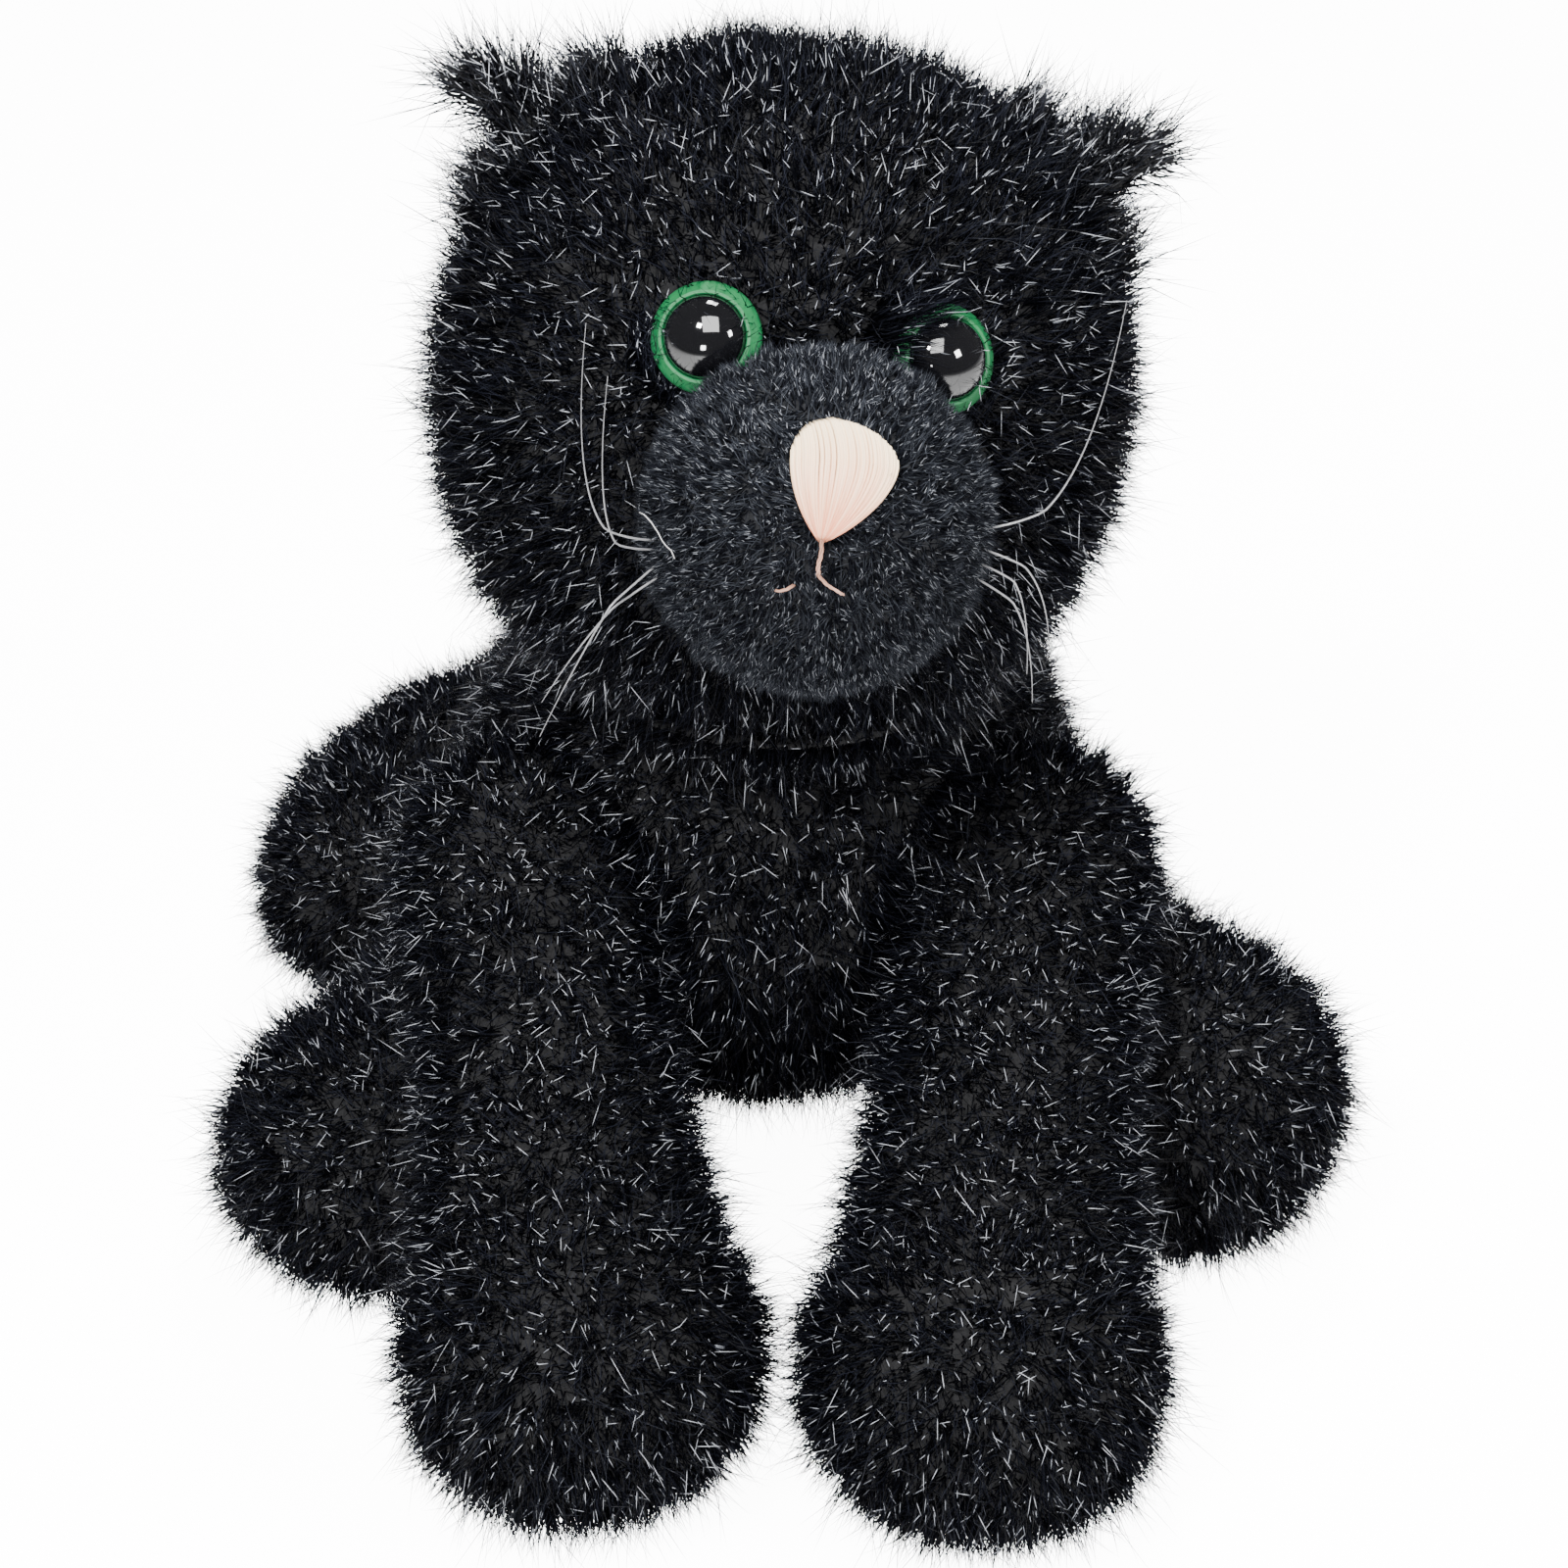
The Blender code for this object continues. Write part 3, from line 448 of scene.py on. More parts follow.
LABEL_CLOTH = ClothFinish("label_cloth", (0.68, 0.68, 0.66), (0.86, 0.86, 0.84), 1400.0, 0.5, 0.4, 0.2)


# ---------------------------------------------------------------- meshes


def nothing_selected() -> None:
    """Leaves object mode with nothing selected."""
    if bpy.context.object and bpy.context.object.mode != "OBJECT":
        bpy.ops.object.mode_set(mode="OBJECT")
    bpy.ops.object.select_all(action="DESELECT")


def chosen(piece: bpy.types.Object) -> None:
    """Selects one object and makes it active."""
    nothing_selected()
    piece.select_set(True)
    bpy.context.view_layer.objects.active = piece


def applied(piece: bpy.types.Object) -> None:
    """Applies every modifier of a piece, in order."""
    chosen(piece)
    for modifier in list(piece.modifiers):
        bpy.ops.object.modifier_apply(modifier=modifier.name)


def settled(piece: bpy.types.Object) -> None:
    """Puts a piece's place, turn and size into its mesh."""
    chosen(piece)
    bpy.ops.object.transform_apply(location=True, rotation=True, scale=True)


def only_material(piece: bpy.types.Object, material: bpy.types.Material) -> None:
    """Gives a piece one material all over."""
    piece.data.materials.clear()
    piece.data.materials.append(material)
    piece.data.polygons.foreach_set("material_index", [0] * len(piece.data.polygons))


def joined(name: str, pieces: list[bpy.types.Object]) -> bpy.types.Object:
    """Joins pieces into the first.

    Args:
        name: The name of the result.
        pieces: What to join.

    Returns:
        The joined object.
    """
    chosen(pieces[0])
    for piece in pieces:
        piece.select_set(True)
    bpy.ops.object.join()
    made = bpy.context.object
    made.name = name
    made.data.name = name
    return made


def copy_of(node: bpy.types.Object, name: str) -> bpy.types.Object:
    """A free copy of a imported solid, with its doubled corners merged.

    Args:
        node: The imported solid.
        name: The copy's name.

    Returns:
        The copy.
    """
    made = bpy.data.objects.new(name, node.data.copy())
    bpy.context.scene.collection.objects.link(made)
    chosen(made)
    bpy.ops.object.mode_set(mode="EDIT")
    bpy.ops.mesh.select_all(action="SELECT")
    bpy.ops.mesh.remove_doubles(threshold=0.00001)
    bpy.ops.object.mode_set(mode="OBJECT")
    return made


def largest_part(piece: bpy.types.Object) -> bpy.types.Object:
    """Keeps the largest loose part of a mesh.

    Args:
        piece: The mesh, which may have crumbs inside it.

    Returns:
        The part that is kept, under the same name.
    """
    name = piece.name
    chosen(piece)
    bpy.ops.object.mode_set(mode="EDIT")
    bpy.ops.mesh.select_all(action="SELECT")
    bpy.ops.mesh.separate(type="LOOSE")
    bpy.ops.object.mode_set(mode="OBJECT")
    parts = sorted(bpy.context.selected_objects, key=lambda o: len(o.data.vertices))
    for crumb in parts[:-1]:
        bpy.data.objects.remove(crumb)
    parts[-1].name = name
    parts[-1].data.name = name
    return parts[-1]


def mesh_piece(name: str, points: np.ndarray, corners: np.ndarray, sides: np.ndarray,
               uvs: np.ndarray | None = None) -> bpy.types.Object:
    """A mesh object from arrays.

    Args:
        name: Its name.
        points: One row for each vertex, in metres.
        corners: The vertex of each face corner, face after face.
        sides: How many corners each face has.
        uvs: One row for each face corner, if it has the strands' map.

    Returns:
        The object.
    """
    mesh = bpy.data.meshes.new(name)
    mesh.vertices.add(len(points))
    mesh.vertices.foreach_set("co", points.astype(np.float32).ravel())
    mesh.loops.add(len(corners))
    mesh.loops.foreach_set("vertex_index", corners.astype(np.int32))
    mesh.polygons.add(len(sides))
    starts = np.concatenate(([0], np.cumsum(sides)[:-1])).astype(np.int32)
    mesh.polygons.foreach_set("loop_start", starts)
    mesh.update(calc_edges=True)
    if uvs is not None:
        layer = mesh.uv_layers.new(name=STRAND_MAP)
        layer.data.foreach_set("uv", uvs.astype(np.float32).ravel())
    mesh.shade_smooth()
    made = bpy.data.objects.new(name, mesh)
    bpy.context.scene.collection.objects.link(made)
    return made


def unit(rows: np.ndarray) -> np.ndarray:
    """Each row at length 1."""
    return rows / np.maximum(np.linalg.norm(rows, axis=1, keepdims=True), 1e-12)


def across(rows: np.ndarray) -> tuple[np.ndarray, np.ndarray]:
    """Two unit directions square to each row.

    Args:
        rows: Unit directions.

    Returns:
        The two directions for each row.
    """
    away = np.where(np.abs(rows[:, 2:3]) < 0.9, np.array([[0.0, 0.0, 1.0]]), np.array([[1.0, 0.0, 0.0]]))
    first = unit(np.cross(rows, away))
    return first, np.cross(rows, first)


# ---------------------------------------------------------------- pile


@dataclass(frozen=True)
class Pile:
    """What one kind of strand is like. Lengths in millimetres, densities for each square millimetre."""

    density: float
    length: float
    width: float
    lift: float  # how far a strand stands out, against how far it is combed over
    comb: float
    stray: float  # how far single strands leave the lay
    clump_spacing: float
    clumping: float
    bent: bool = False
    length_spread: float = 0.3


UNDERCOAT = Pile(density=2.7, length=5.8, width=0.26, lift=1.0, comb=0.3, stray=0.6, clump_spacing=2.2,
                 clumping=0.8)
GUARD_HAIR = Pile(density=0.64, length=7.6, width=0.17, lift=1.0, comb=0.35, stray=0.6, clump_spacing=3.0,
                  clumping=0.85, bent=True)
MUZZLE_PILE = Pile(density=11.5, length=2.9, width=0.24, lift=1.0, comb=0.45, stray=0.75, clump_spacing=2.0,
                   clumping=1.0, length_spread=0.2)
FRINGE = Pile(density=14.0, length=5.2, width=0.25, lift=0.75, comb=0.9, stray=0.35, clump_spacing=2.0,
              clumping=0.6)


@dataclass(frozen=True)
class Comb:
    """Where the pile of a body lies towards."""

    lay: Lay
    towards: Vector  # a point in metres that the pile leaves, or a direction that it follows

    def over(self, points: np.ndarray, normals: np.ndarray) -> np.ndarray:
        """The combed direction at each point, along the surface.

        Args:
            points: The roots.
            normals: The surface's normals there.

        Returns:
            One direction for each root.
        """
        given = np.array(self.towards)[None, :]
        way = unit(points - given) if self.lay is Lay.FROM_POINT else np.repeat(unit(given), len(points), 0)
        return way - normals * np.sum(way * normals, axis=1, keepdims=True)


@dataclass
class Roots:
    """Where strands grow on a skin."""

    points: np.ndarray
    normals: np.ndarray

    @classmethod
    def on(cls, skin: bpy.types.Object, density: float, rng: np.random.Generator) -> "Roots":
        """Roots spread evenly over a skin.

        Args:
            skin: The mesh they grow on.
            density: How many for each square millimetre.
            rng: The seeded source of numbers.

        Returns:
            The roots.
        """
        mesh = skin.data
        mesh.calc_loop_triangles()
        co = np.empty(len(mesh.vertices) * 3, np.float32)
        mesh.vertices.foreach_get("co", co)
        co = co.reshape(-1, 3).astype(float)
        tri = np.empty(len(mesh.loop_triangles) * 3, np.int32)
        mesh.loop_triangles.foreach_get("vertices", tri)
        tri = tri.reshape(-1, 3)
        smooth = np.empty(len(mesh.vertices) * 3, np.float32)
        mesh.vertices.foreach_get("normal", smooth)
        smooth = smooth.reshape(-1, 3).astype(float)
        a, b, c = co[tri[:, 0]], co[tri[:, 1]], co[tri[:, 2]]
        area = np.linalg.norm(np.cross(b - a, c - a), axis=1) / 2.0
        count = int(area.sum() * 1e6 * density)
        pick = rng.choice(len(tri), size=count, p=area / area.sum())
        u, v = np.sqrt(rng.random(count)), rng.random(count)
        w = np.stack([1.0 - u, u * (1.0 - v), u * v], axis=1)
        points = np.einsum("nk,nkd->nd", w, co[tri[pick]])
        normals = unit(np.einsum("nk,nkd->nd", w, smooth[tri[pick]]))
        return cls(points, normals)

    def kept(self, mask: np.ndarray) -> "Roots":
        """Only the roots where mask is true."""
        return Roots(self.points[mask], self.normals[mask])


class Coat:
    """The strands of one body, grown on its skin."""

    def __init__(self, name: str, skin: bpy.types.Object, body: str, comb: Comb, seed: int) -> None:
        """Sets what grows where.

        Args:
            name: The body's plain name.
            skin: The mesh that the strands grow on.
            body: The moving body that they ride on.
            comb: Which way they lie.
            seed: Makes each body's pile its own.
        """
        self.name = name
        self.skin = skin
        self.body = body
        self.comb = comb
        self.rng = np.random.default_rng(seed)

    def room(self, roots: Roots, directions: np.ndarray, lengths: np.ndarray,
             others: BVHTree | None) -> np.ndarray:
        """Strand lengths, cut short where another body or the ground is near.

        Args:
            roots: Where the strands grow.
            directions: Which way they go.
            lengths: Their full lengths in metres.
            others: The other bodies' skins.

        Returns:
            The lengths that fit.
        """
        free = lengths.copy()
        if others is not None:
            for i, (point, way) in enumerate(zip(roots.points, directions)):
                hit = others.ray_cast(Vector(point), Vector(way), lengths[i])
                if hit[0] is not None:
                    free[i] = max(hit[3] - 0.0002, lengths[i] * LEAST_LEFT)
        falling = directions[:, 2] < -0.01
        fit = (roots.points[:, 2] - 0.0002) / np.maximum(-directions[:, 2], 0.01)
        return np.where(falling, np.minimum(free, np.maximum(fit, 0.0)), free)

    def grow(self, pile: Pile, finish: StrandFinish, slot: str, keep: Mask | None,
             others: BVHTree | None, label: str) -> None:
        """Makes the strands of one kind.

        Args:
            pile: What they are like.
            finish: Their material.
            slot: Not used.
            keep: A function from points and normals to a mask, or None for all.
            others: The other bodies' skins.
            label: What to call this kind.
        """
        rng = self.rng
        roots = Roots.on(self.skin, pile.density, rng)
        if keep is not None:
            roots = roots.kept(keep(roots.points, roots.normals))
        count = len(roots.points)
        lay = self.comb.over(roots.points, roots.normals)
        stray = rng.normal(0.0, pile.stray, (count, 3))
        ways = unit(roots.normals * pile.lift + lay * pile.comb + stray)
        facing = np.sum(ways * roots.normals, axis=1, keepdims=True)
        ways = unit(ways + roots.normals * np.maximum(0.25 - facing, 0.0) * 1.5)
        lengths = pile.length * MM * np.clip(rng.normal(1.0, pile.length_spread, count), 0.35, 1.4)
        clumps = max(1, int(count / pile.density / pile.clump_spacing**2))
        heads = rng.choice(count, clumps, replace=False)
        tree = KDTree(clumps)
        for i, head in enumerate(heads):
            tree.insert(roots.points[head], i)
        tree.balance()
        nearest = heads[np.array([tree.find(point)[1] for point in roots.points])]
        tips = roots.points + ways * lengths[:, None]
        pull = pile.clumping * rng.random((count, 1))
        tips += (tips[nearest] - tips) * pull
        ways = unit(tips - roots.points)
        lengths = self.room(roots, ways, np.linalg.norm(tips - roots.points, axis=1), others)
        longest = lengths > 0.0006
        roots, ways, lengths = roots.kept(longest), ways[longest], lengths[longest]
        self.weave(roots, ways, lengths, pile, finish, slot, label)

    def weave(self, roots: Roots, ways: np.ndarray, lengths: np.ndarray, pile: Pile, finish: StrandFinish,
              slot: str, label: str) -> None:
        """Turns strands into meshes, a few pieces for each body.

        Args:
            roots: Where the strands grow.
            ways: Which way they go.
            lengths: How long each is, in metres.
            pile: What they are like.
            finish: Their material.
            slot: Not used.
            label: What to call this kind.
        """
        faces_each = 9 if pile.bent else 3
        number = math.ceil(len(lengths) * faces_each / MOST_STRANDS_FACES)
        parts = np.array_split(np.arange(len(lengths)), max(number, 1))
        for index, part in enumerate(parts):
            base, way, long = roots.points[part], ways[part], lengths[part, None]
            first, second = across(way)
            half = pile.width * MM / 2.0
            spin = self.rng.random((len(part), 1)) * math.tau
            base = base - way * 0.0006
            rings = []
            for level, share in ((0.0, 1.0), (0.55, 0.8)) if pile.bent else ((0.0, 1.0),):
                middle = base + way * long * level
                ring = [middle + (first * np.cos(spin + a) + second * np.sin(spin + a)) * half * share
                        for a in (0.0, math.tau / 3.0, 2.0 * math.tau / 3.0)]
                rings.append(np.stack(ring, axis=1))
            tip = base + way * long
            if pile.bent:
                bend = self.rng.normal(0.0, 0.2, (len(part), 3)) * long
                bend[:, 2] -= 0.08 * long[:, 0]
                tip = tip + bend
                tip[:, 2] = np.maximum(tip[:, 2], 0.0001)
            self.piece(f"{self.name}_{label}_{index + 1}", rings, tip, finish, slot)

    def piece(self, name: str, rings: list[np.ndarray], tip: np.ndarray, finish: StrandFinish,
              slot: str) -> None:
        """Makes one mesh of strands.

        Args:
            name: Its name.
            rings: The triangles of corners from root upwards.
            tip: Each strand's tip.
            finish: Its material.
            slot: Not used.
        """
        count = len(tip)
        levels = len(rings)
        points = np.concatenate([*rings, tip[:, None, :]], axis=1)
        each = 3 * levels + 1
        start = np.arange(count)[:, None] * each
        number = self.rng.integers(0, 256, count)
        middle = (number + 0.5) / 256.0
        corners, uv = [], []
        for level in range(levels - 1):
            low, high = level * 3, level * 3 + 3
            for a, b in ((0, 1), (1, 2), (2, 0)):
                corners.append(start + np.array([low + a, low + b, high + b, high + a]))
                uv.append(self.quad_map(middle, level / levels, (level + 1) / levels))
        last = (levels - 1) * 3
        caps, cap_uv = [], []
        for a, b in ((0, 1), (1, 2), (2, 0)):
            caps.append(start + np.array([last + a, last + b, each - 1]))
            cap_uv.append(self.tip_map(middle, (levels - 1) / levels))
        flat = [c.reshape(-1) for c in corners] + [c.reshape(-1) for c in caps]
        sides = np.concatenate([np.full(len(corners) * count, 4), np.full(3 * count, 3)]).astype(int)
        maps = np.concatenate([m.reshape(-1, 2) for m in (*uv, *cap_uv)])
        made = mesh_piece(name, points.reshape(-1, 3), np.concatenate(flat), sides, maps)
        only_material(made, finish.make())
        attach(made, self.body)
        LOG.info("%s: %d strands", name, count)

    @staticmethod
    def quad_map(middle: np.ndarray, low: float, high: float) -> np.ndarray:
        """The map of a strand's side between two rings, one row for each corner."""
        left, right = middle - 0.0015, middle + 0.0015
        rows = [(left, low), (right, low), (right, high), (left, high)]
        return np.stack([np.stack([u, np.full_like(u, v)], axis=1) for u, v in rows], axis=1)

    @staticmethod
    def tip_map(middle: np.ndarray, low: float) -> np.ndarray:
        """The map of a strand's last side up to its tip, one row for each corner."""
        rows = [(middle - 0.0015, low), (middle + 0.0015, low), (middle, 1.0)]
        return np.stack([np.stack([u, np.full_like(u, v)], axis=1) for u, v in rows], axis=1)


# ---------------------------------------------------------------- plush bodies


@dataclass
class PlushBody:
    """A stuffed body: one padded skin in place of its panels and filling, and the pile on it."""

    name: str
    body: str
    nodes: tuple[str, ...]
    comb: Comb
    seed: int
    voxel: float = 1.5  # millimetres
    smoothing: int = 6
    root_ball: tuple[Vector, float] | None = None  # centre in metres, radius in millimetres
    skin: bpy.types.Object | None = None

    def build_skin(self, packed: dict[str, bpy.types.Object], backing: ClothFinish, slot: str) -> None:
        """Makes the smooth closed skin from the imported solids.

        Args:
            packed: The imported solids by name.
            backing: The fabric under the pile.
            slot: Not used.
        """
        copies = [copy_of(packed[node], node + "_copy") for node in self.nodes]
        if self.root_ball:
            nothing_selected()
            bpy.ops.mesh.primitive_uv_sphere_add(segments=32, ring_count=20, radius=self.root_ball[1] * MM,
                                                 location=self.root_ball[0])
            settled(bpy.context.object)
            copies.append(bpy.context.object)
        skin = joined(self.name + "_skin", copies)
        remesh = skin.modifiers.new("even", "REMESH")
        remesh.mode = "VOXEL"
        remesh.voxel_size = self.voxel * MM
        smooth = skin.modifiers.new("soft", "SMOOTH")
        smooth.factor = 0.5
        smooth.iterations = self.smoothing
        applied(skin)
        skin = largest_part(skin)
        skin.data.shade_smooth()
        only_material(skin, backing.make())
        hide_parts(*self.nodes)
        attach(skin, self.body)
        self.skin = skin
        LOG.info("%s: %d vertices", skin.name, len(skin.data.vertices))

    def coat(self) -> Coat:
        """The body's pile, ready to grow."""
        return Coat(self.name, self.skin, self.body, self.comb, self.seed)


def trees_of(bodies: list[PlushBody]) -> dict[str, BVHTree]:
    """One search tree for each body, of all the other bodies' skins.

    Args:
        bodies: The plush bodies.

    Returns:
        The trees by body name.
    """
    found = {}
    for body in bodies:
        points, faces = [], []
        for other in bodies:
            if other is not body:
                shift = len(points)
                points.extend(v.co.copy() for v in other.skin.data.vertices)
                faces.extend([i + shift for i in p.vertices] for p in other.skin.data.polygons)
        found[body.name] = BVHTree.FromPolygons(points, faces)
    return found


def plush_bodies(frame: dict) -> list[PlushBody]:
    """All the stuffed bodies of the cat.


    Returns:
        The bodies, not yet built.
    """
    hips = {joint["child"]: Vector(joint["pos_m"]) for joint in frame["joints"]}
    head = HeadFrame()
    muzzle = head.muzzle_centre() * MM
    found = [
        PlushBody("head", "head", ("head_front_panel", "head_back_panel", "head_stuffing"),
                  Comb(Lay.FROM_POINT, muzzle + Vector((0.0, -0.01, 0.0))), 11),
        PlushBody("torso", "torso", ("torso_back_panel_left", "torso_back_panel_right", "belly_panel",
                                     "torso_stuffing", "pellet_pouch", "belly_pellets"),
                  Comb(Lay.ALONG, Vector((0.0, 0.25, -1.0))), 12),
    ]
    for seed, leg in enumerate(("front_leg_left", "front_leg_right", "hind_leg_left", "hind_leg_right")):
        nodes = tuple(f"{leg}_{part}" for part in ("outer_panel", "inner_panel", "stuffing", "pellets"))
        low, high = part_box(leg + "_pellets")
        way = (low + high) / 2.0 - hips[leg]
        found.append(PlushBody(leg, leg, nodes, Comb(Lay.ALONG, way), 20 + seed, root_ball=(hips[leg], 16.6)))
    found.append(PlushBody("tail", "tail", ("tail_upper_panel", "tail_lower_panel", "tail_stuffing"),
                           Comb(Lay.FROM_POINT, hips["tail"]), 31, root_ball=(hips["tail"], 12.2)))
    found.append(PlushBody("neck", "neck", ("neck_gusset",), Comb(Lay.ALONG, Vector((0.0, 0.0, -1.0))), 32,
                           voxel=1.0, smoothing=2))
    return found


# ---------------------------------------------------------------- face


@dataclass
class Muzzle:
    """The ball of short dense pile."""

    head: HeadFrame = field(default_factory=HeadFrame)

    def build(self, packed: dict[str, bpy.types.Object]) -> None:
        """Makes the muzzle's skin and its pile.

        Args:
            packed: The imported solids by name.
        """
        centre = self.head.muzzle_centre() * MM
        ball = PlushBody("muzzle", "head", ("muzzle_panel", "muzzle_stuffing"),
                         Comb(Lay.FROM_POINT, centre), 41, voxel=1.0, smoothing=10)
        ball.build_skin(packed, MUZZLE_BACKING, "short_pile")
        nose = self.head.on_muzzle(0.0, 18.0, 0.0)
        ball.comb = Comb(Lay.FROM_POINT, nose)
        behind = -(self.head.matrix().to_3x3() @ ray(0.0, -self.head.muzzle_drop))

        def seen(points: np.ndarray, normals: np.ndarray) -> np.ndarray:
            """True in front of the seam with the head."""
            return ((points - np.array(centre)) @ np.array(behind)) < 0.0075

        ball.coat().grow(MUZZLE_PILE, SHORT_PILE, "short_pile", seen, None, "pile")


@dataclass(frozen=True)
class Eye:
    """A green-rimmed glossy eye. Lengths in millimetres."""

    side: str
    radius: float = 6.6
    pupil_radius: float = 4.9
    dome: float = 3.2

    def frame(self, packed: dict[str, bpy.types.Object]) -> Matrix:
        """The eye's own axes from its packed base: local Z looks out, in metres."""
        co = np.array([v.co for v in packed["eye_base_" + self.side].data.vertices])
        co = np.unique(np.round(co, 6), axis=0)
        middle = co.mean(axis=0)
        spread, ways = np.linalg.eigh(np.cov((co - middle).T))
        gaps = [abs(spread[(i + 1) % 3] - spread[(i + 2) % 3]) for i in range(3)]
        out = Vector(ways[:, int(np.argmin(gaps))])
        if out.dot(Vector(middle) - HeadFrame().centre * MM) < 0.0:
            out = -out
        high = max((Vector(p) - Vector(middle)).dot(out) for p in co)
        seat = Vector(middle) + out * (high - 1.8 * MM)
        x_axis = Vector((0.0, 0.0, 1.0)).cross(out).normalized()
        turn = Matrix((x_axis, out.cross(x_axis), out)).transposed().to_4x4()
        return Matrix.Translation(seat) @ turn

    def lathe(self, name: str, profile: list[tuple[float, float]], place: Matrix, finish: MouldedFinish) -> bpy.types.Object:
        """Spins a profile into a piece.

        Args:
            name: The piece's name.
            profile: Radius and height pairs from the axis round to the axis, in millimetres.
            place: Where it goes.
            finish: Its material.

        Returns:
            The piece.
        """
        mesh = bpy.data.meshes.new(name)
        mesh.from_pydata([(r * MM, 0.0, z * MM) for r, z in profile],
                         [(i, i + 1) for i in range(len(profile) - 1)], [])
        made = bpy.data.objects.new(name, mesh)
        bpy.context.scene.collection.objects.link(made)
        chosen(made)
        bpy.ops.object.mode_set(mode="EDIT")
        bpy.ops.mesh.select_all(action="SELECT")
        bpy.ops.mesh.spin(steps=64, angle=math.tau, center=(0.0, 0.0, 0.0), axis=(0.0, 0.0, 1.0))
        bpy.ops.mesh.select_all(action="SELECT")
        bpy.ops.mesh.remove_doubles(threshold=0.000005)
        bpy.ops.mesh.normals_make_consistent(inside=False)
        bpy.ops.object.mode_set(mode="OBJECT")
        made.matrix_world = place
        settled(made)
        chosen(made)
        bpy.ops.object.shade_smooth_by_angle(angle=math.radians(35.0))
        only_material(made, finish.make())
        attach(made, "head")
        return made

    def build(self, packed: dict[str, bpy.types.Object]) -> None:
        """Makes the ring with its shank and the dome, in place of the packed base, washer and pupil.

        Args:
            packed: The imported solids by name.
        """
        place = self.frame(packed)
        r, p = self.radius, self.pupil_radius
        ring = [(0.0, -11.0), (2.2, -11.0), (2.2, -0.6), (r - 0.7, -0.4), (r - 0.15, 0.0), (r, 0.5),
                (r - 0.12, 1.0), (r - 0.5, 1.35), (p + 0.5, 2.1), (p + 0.15, 2.1),
                (p, 1.9), (p, 0.8), (0.0, 0.8)]
        base = self.lathe("eye_ring_" + self.side, ring, place, GREEN_RING)
        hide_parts("eye_base_" + self.side, "eye_washer_" + self.side)
        inner = p - 0.06
        dome = [(0.0, 0.95), (inner, 0.95)]
        dome += [(inner * math.sin(a), 1.75 + self.dome * math.cos(a))
                 for a in (math.radians(90.0 - 6.0 * i) for i in range(16))]
        dome[-1] = (0.0, 1.75 + self.dome)
        pupil = self.lathe("eye_dome_" + self.side, dome, place, BLACK_DOME)
        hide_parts("eye_pupil_" + self.side)
        LOG.info("eye %s", self.side)

    def fringe(self, packed: dict[str, bpy.types.Object], skin: bpy.types.Object, from_side: Vector,
               length: float) -> None:
        """Grows the pile that leans over one side of the ring.

        Args:
            packed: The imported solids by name.
            skin: The head's skin.
            from_side: The direction from the eye to the pile that leans over it, in the eye's own axes.
            length: Of the pile in millimetres.
        """
        place = self.frame(packed)
        centre = np.array(place.translation)
        away = np.array((place.to_3x3() @ from_side).normalized())

        def beside(points: np.ndarray, normals: np.ndarray) -> np.ndarray:
            """True just outside the ring on that side."""
            gap = points - centre
            far = np.linalg.norm(gap, axis=1)
            return (far > 0.0058) & (far < 0.0098) & (gap @ away > 0.4 * far)

        coat = Coat("fringe_" + self.side, skin, "head", Comb(Lay.ALONG, Vector(-away)), 70 + len(self.side))
        coat.grow(replace(FRINGE, length=length), LONG_PILE, "long_pile", beside, None, "pile")


